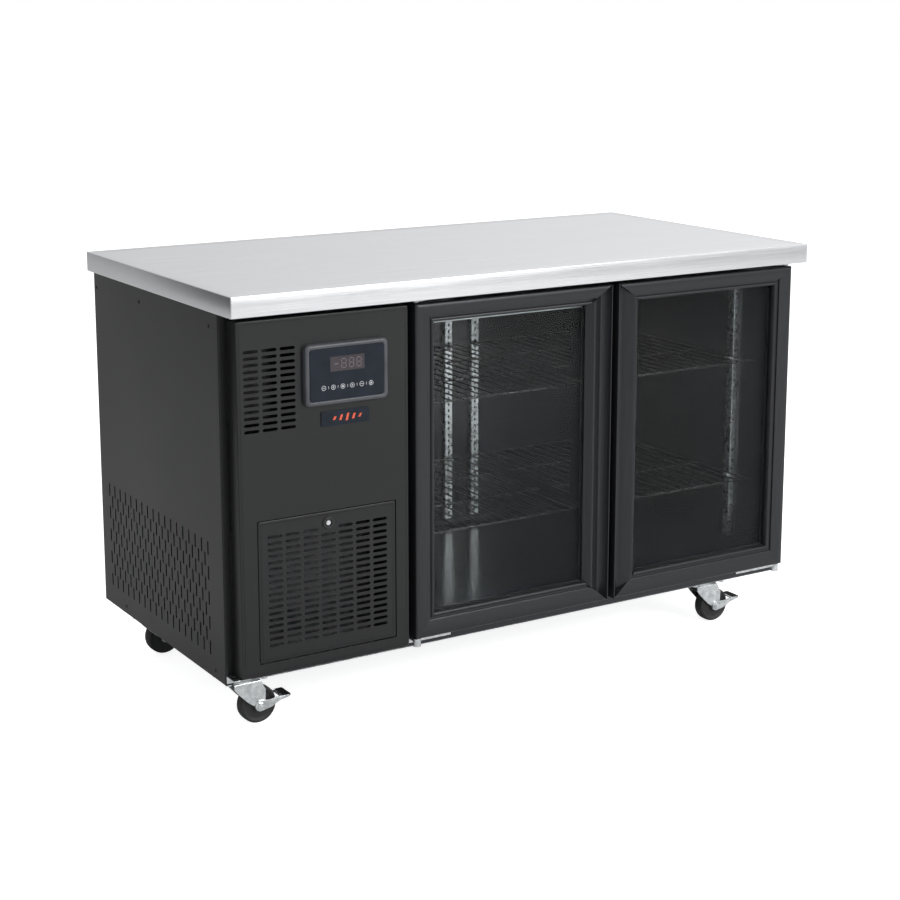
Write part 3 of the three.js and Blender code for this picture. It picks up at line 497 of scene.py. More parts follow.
# Punched sheet: the outline and big openings come in as curves, and rows of round-ended slots join them.
def punchedSheetTree():
    tree, given, result = newTree("punchedSheet",
                                  [("Columns", "Int", 3), ("Rows", "Int", 3),
                                   ("Column Pitch", "Float", 37.2), ("Row Pitch", "Float", 12.3),
                                   ("First Column", "Float", 0.0), ("First Row", "Float", 0.0),
                                   ("Slot Width", "Float", 32.0), ("Slot Height", "Float", 6.0),
                                   ("Stagger", "Float", 0.0), ("Skip Column", "Int", -1),
                                   ("Skip Row", "Int", -1), ("Thickness", "Float", 1.5),
                                   ("Material", "Material", None)])
    index = (addNode(tree, "GeometryNodeInputIndex"), "Index")
    column = mathNode(tree, "MODULO", index, (given, "Columns"))
    row = mathNode(tree, "FLOOR", mathNode(tree, "DIVIDE", index, (given, "Columns")))
    odd = mathNode(tree, "MULTIPLY", mathNode(tree, "MODULO", column, 2.0), (given, "Stagger"))
    across = mathNode(tree, "MULTIPLY_ADD", column, (given, "Column Pitch"), (given, "First Column"))
    drop = mathNode(tree, "MULTIPLY_ADD", odd, 0.5, row)
    down = mathNode(tree, "SUBTRACT", (given, "First Row"),
                    mathNode(tree, "MULTIPLY", drop, (given, "Row Pitch")))
    place = addNode(tree, "ShaderNodeCombineXYZ", {0: across, 1: down})
    count = mathNode(tree, "MULTIPLY", (given, "Columns"), (given, "Rows"))
    points = addNode(tree, "GeometryNodePoints", {"Count": count, "Position": (place, "Vector")})
    lastRow = mathNode(tree, "COMPARE", row, mathNode(tree, "SUBTRACT", (given, "Rows"), 1.0), 0.1)
    short = mathNode(tree, "MULTIPLY", lastRow, odd)
    sameColumn = mathNode(tree, "COMPARE", column, (given, "Skip Column"), 0.1)
    sameRow = mathNode(tree, "COMPARE", row, (given, "Skip Row"), 0.1)
    skipped = mathNode(tree, "MULTIPLY", sameColumn, sameRow)
    unwanted = mathNode(tree, "MAXIMUM", short, skipped)
    kept = addNode(tree, "GeometryNodeDeleteGeometry",
                   {"Geometry": (points, "Geometry"), "Selection": unwanted})
    slot = addNode(tree, "GeometryNodeCurvePrimitiveQuadrilateral", {
        "Width": (given, "Slot Width"), "Height": (given, "Slot Height")})
    smaller = mathNode(tree, "MINIMUM", (given, "Slot Width"), (given, "Slot Height"))
    rounded = addNode(tree, "GeometryNodeFilletCurve", {
        "Curve": (slot, "Curve"), "Radius": mathNode(tree, "MULTIPLY", smaller, 0.48)})
    for key, value in (("Mode", "Poly"), ("Count", 4)):
        if key in rounded.inputs:
            rounded.inputs[key].default_value = value
    if hasattr(rounded, "mode"):
        rounded.mode = "POLY"
    copies = addNode(tree, "GeometryNodeInstanceOnPoints", {
        "Points": (kept, "Geometry"), "Instance": (rounded, "Curve")})
    real = addNode(tree, "GeometryNodeRealizeInstances", {"Geometry": (copies, "Instances")})
    outlines = addNode(tree, "GeometryNodeJoinGeometry", {"Geometry": (given, "Geometry")})
    tree.links.new(real.outputs["Geometry"], outlines.inputs["Geometry"])
    filled = addNode(tree, "GeometryNodeFillCurve", {"Curve": (outlines, "Geometry")})
    lift = addNode(tree, "ShaderNodeCombineXYZ", {2: (given, "Thickness")})
    raised = addNode(tree, "GeometryNodeExtrudeMesh", {
        "Mesh": (filled, "Mesh"), "Offset": (lift, "Vector"), "Offset Scale": 1.0, "Individual": False})
    under = addNode(tree, "GeometryNodeFlipFaces", {"Mesh": (filled, "Mesh")})
    both = addNode(tree, "GeometryNodeJoinGeometry", {"Geometry": (raised, "Mesh")})
    tree.links.new(under.outputs["Mesh"], both.inputs["Geometry"])
    welded = addNode(tree, "GeometryNodeMergeByDistance", {"Geometry": (both, "Geometry"), "Distance": 0.001})
    painted = addNode(tree, "GeometryNodeSetMaterial", {
        "Geometry": (welded, "Geometry"), "Material": (given, "Material")})
    final = addNode(tree, "GeometryNodeRealizeInstances", {"Geometry": (painted, "Geometry")})
    tree.links.new(final.outputs["Geometry"], result.inputs["Geometry"])
    return tree


punchedSheet = punchedSheetTree()


def outlineCurve(outlines):
    curve = bpy.data.curves.new("outlines", "CURVE")
    curve.dimensions = "2D"
    curve.fill_mode = "NONE"
    for outline in outlines:
        spline = curve.splines.new("POLY")
        spline.points.add(len(outline) - 1)
        for point, (a, b) in zip(spline.points, outline):
            point.co = (a, b, 0, 1)
        spline.use_cyclic_u = True
    return curve


# Makes the punched sheet flat, stands it up facing the front or the left, and adds it to a bmesh.
def addPunchedSheet(bm, outlines, values, material, facing, depth):
    mesh = bakeTree(punchedSheet, outlineCurve(outlines), {**values, "Material": material})
    columns = {"front": ((1, 0, 0), (0, 0, 1), (0, 1, 0)), "left": ((0, 1, 0), (0, 0, 1), (1, 0, 0))}[facing]
    turn = Matrix(columns).transposed().to_4x4()
    turn.translation = Vector((0, depth, 0)) if facing == "front" else Vector((depth, 0, 0))
    mesh.transform(turn)
    bm.from_mesh(mesh)
    bpy.data.meshes.remove(mesh)


# Folded rim of a pan that faces the front: a small bend, then a flange running back.
def addPanRim(bm, x0, x1, z0, z1, front, depth, bend=2.5, sheet=1.5, steps=5):
    rings = []
    turns = [math.radians(90 * i / steps) for i in range(steps + 1)]
    fold = [(bend * (1 - math.sin(t)), bend * (1 - math.cos(t))) for t in turns]
    for inset, back in [(bend + 4, 0)] + fold + [(0, depth), (sheet, depth), (sheet, bend),
                                                 (bend + 4, sheet)]:
        corner = max(3.0 - inset * 0.3, 0.8)
        rings.append([(a, front + back, b) for a, b in roundedOutline(
            x0 + inset, x1 - inset, z0 + inset, z1 - inset, corner, 4)])
    rings.append(rings[0])
    addLoft(bm, rings, capEnds=False)


# Screw heads: one domed head with a cross recess on every vertex, facing along the vertex's normal.
def screwTree():
    tree, given, result = newTree("screwHeads", [
        ("Head Radius", "Float", 4.0), ("Head Height", "Float", 1.6), ("Slot Width", "Float", 1.0),
        ("Material", "Material", None)])
    head = addNode(tree, "GeometryNodeMeshUVSphere", {
        "Segments": 20, "Rings": 10, "Radius": (given, "Head Radius")})
    ratio = mathNode(tree, "DIVIDE", (given, "Head Height"), (given, "Head Radius"))
    squat = addNode(tree, "ShaderNodeCombineXYZ", {0: 1.0, 1: 1.0, 2: ratio})
    dome = addNode(tree, "GeometryNodeTransform", {"Geometry": (head, "Mesh"), "Scale": (squat, "Vector")})
    reach = mathNode(tree, "MULTIPLY", (given, "Head Radius"), 1.15)
    barSize = addNode(tree, "ShaderNodeCombineXYZ", {
        0: reach, 1: (given, "Slot Width"), 2: (given, "Head Height")})
    bar = addNode(tree, "GeometryNodeMeshCube", {"Size": (barSize, "Vector")})
    rise = addNode(tree, "ShaderNodeCombineXYZ", {2: (given, "Head Height")})
    first = addNode(tree, "GeometryNodeTransform",
                    {"Geometry": (bar, "Mesh"), "Translation": (rise, "Vector")})
    second = addNode(tree, "GeometryNodeTransform", {
        "Geometry": (first, "Geometry"), "Rotation": (0.0, 0.0, math.pi / 2)})
    cross = addNode(tree, "GeometryNodeMeshBoolean", {"Mesh 1": (dome, "Geometry")}, operation="DIFFERENCE")
    tree.links.new(first.outputs["Geometry"], cross.inputs["Mesh 2"])
    tree.links.new(second.outputs["Geometry"], cross.inputs["Mesh 2"])
    facing = addNode(tree, "GeometryNodeInputNamedAttribute", {"Name": "facing"}, data_type="FLOAT_VECTOR")
    face = addNode(tree, "FunctionNodeAlignRotationToVector", {"Vector": (facing, "Attribute")}, axis="Z")
    heads = addNode(tree, "GeometryNodeInstanceOnPoints", {
        "Points": (given, "Geometry"), "Instance": (cross, "Mesh"), "Rotation": (face, "Rotation")})
    return finishCopies(tree, given, result, heads)


screwHeads = screwTree()


# Places are (position, outward direction) pairs; each point carries its direction into the tree.
def addScrews(name, places, body, material, radius=4.0, height=1.6):
    base = bpy.data.meshes.new("screwPlaces")
    base.from_pydata([tuple(position) for position, _ in places], [], [])
    directions = base.attributes.new("facing", "FLOAT_VECTOR", "POINT")
    for item, (_, direction) in zip(directions.data, places):
        item.vector = direction
    mesh = bakeTree(screwHeads, base, {
        "Head Radius": radius, "Head Height": height, "Slot Width": radius * 0.24, "Material": material})
    return dressMesh(name, mesh, body, [material], smoothAngle=30)


print("helpers ready")

# Stage: white floor, a room that is bright above and dark ahead, and soft lamps.
stageSizes = {"floorSize": 60.0, "cameraPlace": (-2.0489, -3.2930, 1.3744), "yaw": 31.81, "pitch": -11.178,
              "lens": 73.94, "shift": -0.1, "floorGlow": 0.8}


def makeStage():
    bpy.ops.mesh.primitive_plane_add(size=stageSizes["floorSize"], location=(0, 0, 0))
    floor = bpy.context.object
    floor.name = "floor"
    material, tree, shader = newMaterial("floor_pale", Roughness=0.8)
    shader.inputs["Base Color"].default_value = linear("#dcdcdc")
    shader.inputs["Emission Color"].default_value = linear("#ffffff")
    rays = addNode(tree, "ShaderNodeLightPath")
    glow = spread(tree, rays, "Is Camera Ray", 0.0, 1.0, 0.0, stageSizes["floorGlow"])
    tree.links.new(glow.outputs["Result"], shader.inputs["Emission Strength"])
    floor.data.materials.append(material)
    cameraData = bpy.data.cameras.new("camera")
    cameraData.lens = stageSizes["lens"]
    cameraData.sensor_width = 36
    cameraData.shift_y = stageSizes["shift"]
    camera = bpy.data.objects.new("camera", cameraData)
    bpy.context.scene.collection.objects.link(camera)
    camera.location = stageSizes["cameraPlace"]
    camera.rotation_euler = (math.radians(90 + stageSizes["pitch"]), 0, -math.radians(stageSizes["yaw"]))
    bpy.context.scene.camera = camera


def softBox(name, place, aim, width, height, power, color="#ffffff"):
    data = bpy.data.lights.new(name, "AREA")
    data.shape = "RECTANGLE"
    data.size = width
    data.size_y = height
    data.energy = power
    data.color = linear(color)[:3]
    lamp = bpy.data.objects.new(name, data)
    bpy.context.scene.collection.objects.link(lamp)
    lamp.location = place
    lamp.rotation_euler = (Vector(aim) - Vector(place)).to_track_quat("-Z", "Y").to_euler()
    return lamp


# The room is a sky of plain greys: white above the horizon, brighter to the right, and dark low down.
def makeRoom():
    world = bpy.data.worlds.new("room")
    bpy.context.scene.world = world
    world.use_nodes = True
    tree = world.node_tree
    coords = addNode(tree, "ShaderNodeTexCoord")
    direction = addNode(tree, "ShaderNodeSeparateXYZ", {"Vector": (coords, "Generated")})
    height = addNode(tree, "ShaderNodeMapRange", {
        "Value": (direction, "Z"), "From Min": -0.3, "From Max": 0.16, "To Min": 0.0, "To Max": 1.0})
    steep = addNode(tree, "ShaderNodeMath", {0: (height, "Result"), 1: 2.2}, operation="POWER")
    sideways = addNode(tree, "ShaderNodeMapRange", {
        "Value": (direction, "X"), "From Min": 0.1, "From Max": 0.8, "To Min": 0.6, "To Max": 1.22})
    both = addNode(tree, "ShaderNodeMath", {0: (steep, "Value"), 1: (sideways, "Result")},
                   operation="MULTIPLY")
    lifted = addNode(tree, "ShaderNodeMath", {0: (both, "Value"), 1: 0.015}, operation="ADD")
    rays = addNode(tree, "ShaderNodeLightPath")
    seen = addNode(tree, "ShaderNodeMix", {0: (rays, "Is Camera Ray"), 2: (lifted, "Value"), 3: 1.0})
    background = tree.nodes["Background"]
    tree.links.new(seen.outputs[0], background.inputs["Strength"])
    background.inputs["Color"].default_value = (1, 1, 1, 1)


# A black card out of view on the left keeps the side panel dark.
def makeFlag():
    bpy.ops.mesh.primitive_plane_add(size=1.0, location=(-3.0, 1.8, 0.6))
    flag = bpy.context.object
    flag.name = "flag"
    flag.scale = (5.0, 2.4, 1.0)
    flag.rotation_euler = (math.radians(90), 0, math.radians(90))
    material, _, shader = newMaterial("card_black", Roughness=0.9)
    shader.inputs["Base Color"].default_value = linear("#0a0a0a")
    flag.data.materials.append(material)
    flag.visible_camera = False
    flag.visible_shadow = False
    flag.visible_diffuse = False


makeStage()
makeFlag()
makeRoom()
softBox("topBox", (0.2, -0.4, 3.4), (0, 0, 0.8), 3.6, 2.6, 26)
softBox("frontBox", (1.6, -4.4, 2.6), (0.2, 0, 0.4), 2.0, 1.6, 150)
softBox("leftBox", (-3.6, -3.4, 2.6), (0.1, 0, 0.4), 1.6, 1.6, 30)
view = bpy.context.scene.view_settings
view.view_transform = "Standard"
print("stage ready")

worktopLow, worktopHigh = boxOf("worktop")
doorLeftLow, doorLeftHigh = boxOf("door_frame_left")
doorRightLow, doorRightHigh = boxOf("door_frame_right")
sideLow, sideHigh = boxOf("side_panel_left")
rightLow, rightHigh = boxOf("side_panel_right")
panelLow, panelHigh = boxOf("machine_front_panel")
grilleLow, grilleHigh = boxOf("service_grille")
linerLow, linerHigh = boxOf("inner_liner")
backLow, backHigh = boxOf("back_panel")

# Worktop: a folded stainless slab with softened edges and a hollow underside with a hem all round.
worktopSizes = {"corner": 2.5, "edge": 1.6, "hem": 18.0, "hollow": 6.0, "flat": 40.0}


def makeWorktop():
    s = worktopSizes
    low, high = worktopLow, worktopHigh
    bm = bmesh.new()

    def ring(inset, z, corner):
        return [(x, y, z) for x, y in roundedOutline(
            low.x + inset, high.x - inset, low.y + inset, high.y - inset, corner, 6)]
    rings = [ring(s["hem"], low.z + s["hollow"], 2.0), ring(s["hem"], low.z + 0.8, 2.0),
             ring(s["hem"] - 0.8, low.z, 2.4)]
    turns = [math.radians(t) for t in (0, 30, 60, 90)]
    edge = s["edge"]
    rings += [ring(edge * (1 - math.sin(t)), low.z + edge * (1 - math.cos(t)), s["corner"]) for t in turns]
    rings += [ring(edge * (1 - math.cos(t)), high.z - edge * (1 - math.sin(t)), s["corner"]) for t in turns]
    rings.append(ring(s["flat"], high.z, 3.0))
    addLoft(bm, rings)
    finishPiece("worktop_skin", bm, "cabinet", [paint["stainless"]], ["worktop"])


# Left skin: sheet with staggered upright slots, and a flange folded in at its front edge.
sideSizes = {"sheet": 1.5, "slotWidth": 5.5, "slotHeight": 29.0, "pitch": 14.5, "rowPitch": 49.0, "rows": 5,
             "first": 64.0, "last": 42.0, "rise": 41.0, "flange": 16.0}


sideScrewSpots = ((309, 780), (82, 781), (-246, 782), (203, 119), (-239, 119))


def makeVentedSide():
    s = sideSizes
    low, high = sideLow, sideHigh
    depth = high.y - low.y
    columns = int((depth - s["last"] - s["first"] - 6) // s["pitch"]) + 1
    bm = bmesh.new()
    values = {"Columns": columns, "Rows": s["rows"], "Column Pitch": s["pitch"], "Row Pitch": s["rowPitch"],
              "First Column": low.y + s["first"] + 3,
              "First Row": low.z + s["rise"] + s["slotHeight"] / 2 + (s["rows"] - 1) * s["rowPitch"],
              "Slot Width": s["slotWidth"], "Slot Height": s["slotHeight"], "Stagger": 1.0,
              "Thickness": s["sheet"]}
    outline = roundedOutline(low.y + 1.2, high.y, low.z, high.z, 0.6, 2)
    addPunchedSheet(bm, [outline], values, paint["sideCoat"], "left", low.x)
    bend = [(low.x, low.y + 3)] + [(low.x + a, low.y + b) for a, b in arcPoints(2, 2, 2, 180, 270, 5)]
    bend += [(low.x + s["flange"], low.y), (low.x + s["flange"], low.y + s["sheet"]),
             (low.x + 2.2, low.y + s["sheet"]), (low.x + s["sheet"], low.y + 2.2),
             (low.x + s["sheet"], low.y + 3)]
    addPlate(bm, bend, low.z, high.z, "xy")
    finishPiece("side_skin_left", bm, "cabinet", [paint["sideCoat"]], ["side_panel_left"])
    places = []
    for y, z in sideScrewSpots:
        places.append(((low.x, y, z), (-1, 0, 0)))
        places.append(((rightHigh.x, y, z), (1, 0, 0)))
    addScrews("side_screws", places, "cabinet", paint["sideCoat"], 4.2, 1.3)


# Machine front: a folded pan with a doorway for the grille and a block of short slots at its upper left.
frontSizes = {"bend": 2.5, "sheet": 1.5, "slotWidth": 32.0, "slotHeight": 6.0, "pitch": 37.2,
              "rowPitch": 12.35, "columns": 3, "rows": 13, "first": 13.0, "drop": 57.0, "doorwayGap": 1.5,
              "windowInset": 14.0}


def makeFrontPanel():
    s = frontSizes
    low, high = panelLow, panelHigh
    bm = bmesh.new()
    addPanRim(bm, low.x, high.x, low.z, high.z, low.y, high.y - low.y, s["bend"], s["sheet"])
    inset = s["bend"] + 3.5
    outline = insetOutline(low, high, inset, 1.5, 3)
    doorway = insetOutline(grilleLow, grilleHigh, -s["doorwayGap"], 2.0, 3)
    window = insetOutline(*boxOf("controller_bezel"), s["windowInset"], 2.0, 3)
    values = {"Columns": s["columns"], "Rows": s["rows"], "Column Pitch": s["pitch"],
              "Row Pitch": s["rowPitch"], "First Column": low.x + s["first"] + s["slotWidth"] / 2,
              "First Row": high.z - s["drop"], "Slot Width": s["slotWidth"], "Slot Height": s["slotHeight"],
              "Thickness": s["sheet"]}
    addPunchedSheet(bm, [outline, doorway, window], values, paint["frontCoatLit"], "front", low.y)
    finishPiece("machine_front_skin", bm, "cabinet", [paint["frontCoatLit"]],
                ["machine_front_panel"])


grilleSizes = {"bend": 2.0, "sheet": 1.2, "side": 18.5, "drop": 32.0, "columns": 7, "rows": 18,
               "lockDrop": 22.0, "lockHole": 9.8}


def makeGrille():
    s = grilleSizes
    f = frontSizes
    low, high = grilleLow, grilleHigh
    bm = bmesh.new()
    addPanRim(bm, low.x, high.x, low.z, high.z, low.y, high.y - low.y, s["bend"], s["sheet"])
    inset = s["bend"] + 3.5
    outline = insetOutline(low, high, inset, 1.5, 3)
    lockX = (low.x + high.x) / 2
    hole = arcPoints(lockX, high.z - s["lockDrop"], s["lockHole"], 0, 345, 23)
    values = {"Columns": s["columns"], "Rows": s["rows"], "Column Pitch": f["pitch"],
              "Row Pitch": f["rowPitch"], "First Column": low.x + s["side"] + f["slotWidth"] / 2,
              "First Row": high.z - s["drop"], "Slot Width": f["slotWidth"], "Slot Height": f["slotHeight"],
              "Skip Column": 3, "Skip Row": 0, "Thickness": s["sheet"]}
    addPunchedSheet(bm, [outline, hole], values, paint["frontCoatLit"], "front", low.y)
    finishPiece("grille_skin", bm, "grille", [paint["frontCoatLit"]], ["service_grille"])


lockSizes = {"head": 12.0, "proud": 3.0, "barrel": 8.8, "plug": 6.5}


def makeLock():
    s = lockSizes
    low, high = boxOf("grille_lock")
    x = low.x + s["head"]
    z = (low.z + high.z) / 2
    y = grilleLow.y
    bm = bmesh.new()
    addLathe(bm, [(0, y - 1.6), (s["plug"] - 0.6, y - 1.6), (s["plug"], y - 1.2), (s["plug"], y - 0.8),
                  (s["plug"] + 0.5, y - 0.8), (s["plug"] + 0.8, y - 2.4), (s["head"] - 2.4, y - s["proud"]),
                  (s["head"] - 0.8, y - s["proud"] + 0.5), (s["head"], y - 1.4), (s["head"], y - 0.3),
                  (s["barrel"], y - 0.3), (s["barrel"], y + 14.8), (0, y + 14.8)], (x, 0, z), "y", 40)
    addBox(bm, x - 6, x + 34, y + 12, y + 14.5, z - 5, z + 5)
    finishPiece("grille_lock_body", bm, "lock", [paint["blackPlastic"]], ["grille_lock"])
    bm = bmesh.new()
    addLathe(bm, [(0, y - 1.75), (4.4, y - 1.75), (4.6, y - 1.6), (0, y - 1.6)], (x, 0, z), "y", 24)
    addBox(bm, x - 0.7, x + 0.7, y - 1.95, y - 1.7, z - 3.6, z + 3.6)
    finishPiece("grille_lock_plug", bm, "lock", [paint["zinc"]])


# Controller: a grey moulded frame round a dark label with a display window and a row of touch keys.
controlSizes = {"corner": 12.0, "rimWidth": 9.0, "depth": 12.0, "windowWidth": 72.0, "windowHeight": 28.0,
                "windowDrop": 30.0, "keys": 6, "keyRadius": 4.6, "keyPitch": 20.0, "keyRise": 24.0}


def makeController():
    s = controlSizes
    low, high = boxOf("controller_bezel")
    faceLow, faceHigh = boxOf("controller_face")
    y = panelLow.y
    bm = bmesh.new()

    def ring(inset, depth, corner):
        return [(a, y - depth, b) for a, b in insetOutline(low, high, inset, max(corner, 1.0), 8)]
    outer = s["depth"] - 3
    rings = [ring(10, 0.3, s["corner"] - 6), ring(0, 0.3, s["corner"]), ring(0, outer - 2, s["corner"])]
    rings += [ring(4 * (1 - math.cos(math.radians(t))), outer - 2 + 5 * math.sin(math.radians(t)),
                   s["corner"] - 2) for t in (20, 40, 60, 80)]
    rings += [ring(s["rimWidth"] - 2.2, s["depth"], s["corner"] - 5),
              ring(s["rimWidth"] - 1.0, s["depth"] - 0.4, s["corner"] - 6),
              ring(s["rimWidth"], s["depth"] - 1.6, s["corner"] - 6.4),
              ring(s["rimWidth"], s["depth"] - 4.5, s["corner"] - 6.4)]
    addLoft(bm, rings)
    addBox(bm, low.x + 17.5, high.x - 17.5, y, high.y, low.z + 16, high.z - 16)
    finishPiece("controller_frame", bm, "cabinet", [paint["greyPlastic"]],
                ["controller_bezel"])
    front = faceLow.y
    bm = bmesh.new()
    outline = insetOutline(faceLow, faceHigh, 0, s["corner"] / 2, 6)
    addPlate(bm, outline, front, faceHigh.y)
    finishPiece("controller_label", bm, "cabinet", [paint["label"]], ["controller_face"], 0.3)
    centre = (faceLow.x + faceHigh.x) / 2
    top = faceHigh.z - s["windowDrop"] + s["windowHeight"] / 2
    bm = bmesh.new()
    x0 = centre - s["windowWidth"] / 2
    window = roundedOutline(x0, x0 + s["windowWidth"], top - s["windowHeight"], top, 1.5, 4)
    addPlate(bm, window, front - 0.25, front + 0.5)
    finishPiece("display_window", bm, "cabinet", [paint["display"]])
    bm = bmesh.new()
    for digit in range(3):
        addDigit(bm, x0 + 24 + digit * 16, top - s["windowHeight"] / 2, front - 0.4)
    middle = top - s["windowHeight"] / 2
    addBox(bm, x0 + 9, x0 + 17, front - 0.4, front - 0.2, middle - 1, middle + 1)
    finishPiece("display_segments", bm, "cabinet", [paint["segment"]])
    makeKeys(centre, faceLow.z + s["keyRise"], front)


# One seven-part figure, all parts showing, as an unlit display does.
def addDigit(bm, x, z, y, width=9.0, height=17.0, bar=1.5):
    for level in (-1, 0, 1):
        middle = z + level * height / 2
        addBox(bm, x + 1, x + width - 1, y, y + 0.2, middle - bar / 2, middle + bar / 2)
    for side in (0, width):
        for level in (-1, 1):
            middle = z + level * height / 4
            addBox(bm, x + side - bar / 2, x + side + bar / 2, y, y + 0.2, middle - height / 4 + 1.2,
                   middle + height / 4 - 1.2)


def makeKeys(centre, z, front):
    s = controlSizes
    bm = bmesh.new()
    for key in range(s["keys"]):
        x = centre + (key - (s["keys"] - 1) / 2) * s["keyPitch"]
        ring = [(s["keyRadius"] - 0.7, front - 0.25), (s["keyRadius"], front - 0.25),
                (s["keyRadius"], front + 0.1), (s["keyRadius"] - 0.7, front + 0.1),
                (s["keyRadius"] - 0.7, front - 0.25)]
        rings = [[(x + r * math.cos(2 * math.pi * i / 28), y, z + r * math.sin(2 * math.pi * i / 28))
                  for i in range(28)] for r, y in ring]
        addLoft(bm, rings, capEnds=False)
        spokes = (1, 2, 3, 2, 1, 3)[key]
        for spoke in range(spokes):
            angle = math.pi * spoke / spokes
            along = Vector((math.cos(angle), 0, math.sin(angle))) * 2.4
            across = Vector((-math.sin(angle), 0, math.cos(angle))) * 0.4
            reaches = (-along - across, along - across, along + across, across - along)
            corners = [Vector((x, 0, z)) + reach for reach in reaches]
            addLoft(bm, [[(c.x, depth, c.z) for c in corners] for depth in (front - 0.25, front + 0.1)])
        if key < s["keys"] - 1:
            mark = x + s["keyPitch"] / 2
            addBox(bm, mark - 0.3, mark + 0.3, front - 0.25, front + 0.1, z - 2.6, z + 2.6)
    finishPiece("key_marks", bm, "cabinet", [paint["whiteInk"]])


# Badge: a plain dark plate with an abstract mark of five slanted strokes.
badgeSizes = {"strokes": 5, "strokeReach": 3.0, "strokePitch": 13.5, "lead": 24.0}


def makeBadge():
    low, high = boxOf("badge_plate")
    y = low.y
    bm = bmesh.new()
    outline = insetOutline(low, high, 0, 1.6, 4)
    addPlate(bm, outline, y + 0.1, high.y)
    finishPiece("badge_base", bm, "cabinet", [paint["label"]], ["badge_plate"], 0.3)
    bm = bmesh.new()
    middle = (low.z + high.z) / 2
    count = badgeSizes["strokes"]
    for i in range(count):
        x = low.x + badgeSizes["lead"] + i * badgeSizes["strokePitch"]
        reach = badgeSizes["strokeReach"] * (2.3 - abs(i - (count - 1) / 2) * 0.6)
        outline = [(x, middle - reach), (x + 4.6, middle - reach), (x + 8.2, middle + reach),
                   (x + 3.6, middle + reach)]
        addPlate(bm, outline, y - 0.1, y + 0.3)
    finishPiece("badge_mark", bm, "cabinet", [paint["orangeInk"]])


# Door leaf: four mitred bars. The section runs from the leaf's outer edge to the glass.
doorSizes = {"hinge": 46.0, "top": 40.0, "bottom": 48.0, "handle": 59.0, "thickness": 30.0, "rebate": 8.0,
             "glassFront": 14.6}


def railOutline(width):
    t = doorSizes["thickness"]
    g = doorSizes["glassFront"]
    points = [(0, 0), (0, t - 6)] + arcPoints(5, t - 6, 5, 180, 100, 5)
    points += [(4.6 + (width - 20) * 0.35, t - 1.0), (width - 15, t - 3.6), (width - 13.6, t - 4.4),
               (width - 13.2, t - 7.4), (width - 9.4, t - 7.8)]
    points += arcPoints(width - 5.4, t - 8.6, 4.0, 150, 20, 6)
    points += [(width - 0.6, g + 3.6), (width, g + 1.2), (width, g), (width - doorSizes["rebate"], g),
               (width - doorSizes["rebate"], 0)]
    return points


# Handle section: a thin nose, a hollow for the fingers, a slope to the crest and a fall to the glass.
def handleOutline(width):
    t = doorSizes["thickness"]
    g = doorSizes["glassFront"]
    crest = width - 12
    points = [(0, 0), (0, t - 2)] + arcPoints(1.4, t - 1.5, 1.4, 170, 30, 5)
    for i in range(11):
        k = i / 10
        points.append((3 * (1 - k) ** 2 + 26 * k * (1 - k) + 23 * k * k,
                       (t - 3) * (1 - k) ** 2 + 2 * (t - 25) * k * (1 - k) + (t - 15) * k * k))
    points += [(crest - 6.4, t - 2.0), (crest - 4.4, t - 0.9)] + arcPoints(crest - 2, t - 2.4, 2.4, 100, 30,
                                                                           4)
    points += [(width - 5.0, t - 8.4), (width - 3.6, t - 10.6), (width - 0.8, g + 2.4), (width, g + 1.2),
               (width, g), (width - doorSizes["rebate"], g), (width - doorSizes["rebate"], 0)]
    return points


# A bar from corner to corner; inward points to the glass and along runs the bar's length.
def addMitredBar(bm, outline, width, length, startWidth, endWidth, origin, inward, along, materialIndex):
    rings = []
    for atEnd in (False, True):
        ring = []
        for across, height in outline:
            share = across / width
            run = length - share * endWidth - 0.05 if atEnd else share * startWidth + 0.05
            place = Vector(origin) + Vector(inward) * across + Vector(along) * run
            ring.append(place - Vector((0, height, 0)))
        rings.append(ring)
    addLoft(bm, rings, materialIndex=materialIndex)


def makeDoor(side, low, high, direction):
    s = doorSizes
    width = high.x - low.x
    height = high.z - low.z
    hingeX = low.x if direction > 0 else high.x
    freeX = high.x if direction > 0 else low.x
    back = high.y
    inward = (direction, 0, 0)
    bm = bmesh.new()
    addMitredBar(bm, railOutline(s["hinge"]), s["hinge"], height, s["bottom"], s["top"],
                 (hingeX, back, low.z), inward, (0, 0, 1), 0)
    addMitredBar(bm, handleOutline(s["handle"]), s["handle"], height, s["bottom"], s["top"],
                 (freeX, back, low.z), (-direction, 0, 0), (0, 0, 1), 0)
    addMitredBar(bm, railOutline(s["top"]), s["top"], width, s["hinge"], s["handle"],
                 (hingeX, back, high.z), (0, 0, -1), inward, 1)
    addMitredBar(bm, railOutline(s["bottom"]), s["bottom"], width, s["hinge"], s["handle"],
                 (hingeX, back, low.z), (0, 0, 1), inward, 1)
    body = "door_" + side
    finishPiece("leaf_frame_" + side, bm, body, [paint["frameUp"], paint["frameAcross"]],
                ["door_frame_" + side], smoothAngle=28)
    makeGlassUnit(side, body)
    makeSeal(side, body)


glassSizes = {"pane": 4.0, "spacer": 9.0}


def makeGlassUnit(side, body):
    low, high = boxOf("door_glass_" + side)
    bm = bmesh.new()
    for y in (low.y, high.y - glassSizes["pane"]):
        addBox(bm, low.x, high.x, y, y + glassSizes["pane"], low.z, high.z)
    finishPiece("glass_panes_" + side, bm, body, [paint["glass"]], ["door_glass_" + side])
    bm = bmesh.new()
    rings = []
    inner = glassSizes["spacer"]
    front = low.y + glassSizes["pane"] + 0.1
    back = high.y - glassSizes["pane"] - 0.1
    for inset, y in ((1, front), (inner, front), (inner, back), (1, back), (1, front)):
        rings.append([(a, y, b) for a, b in insetOutline(low, high, inset, 1.0, 2)])
    addLoft(bm, rings, capEnds=False)
    finishPiece("glass_spacer_" + side, bm, body, [paint["blackPlastic"]])


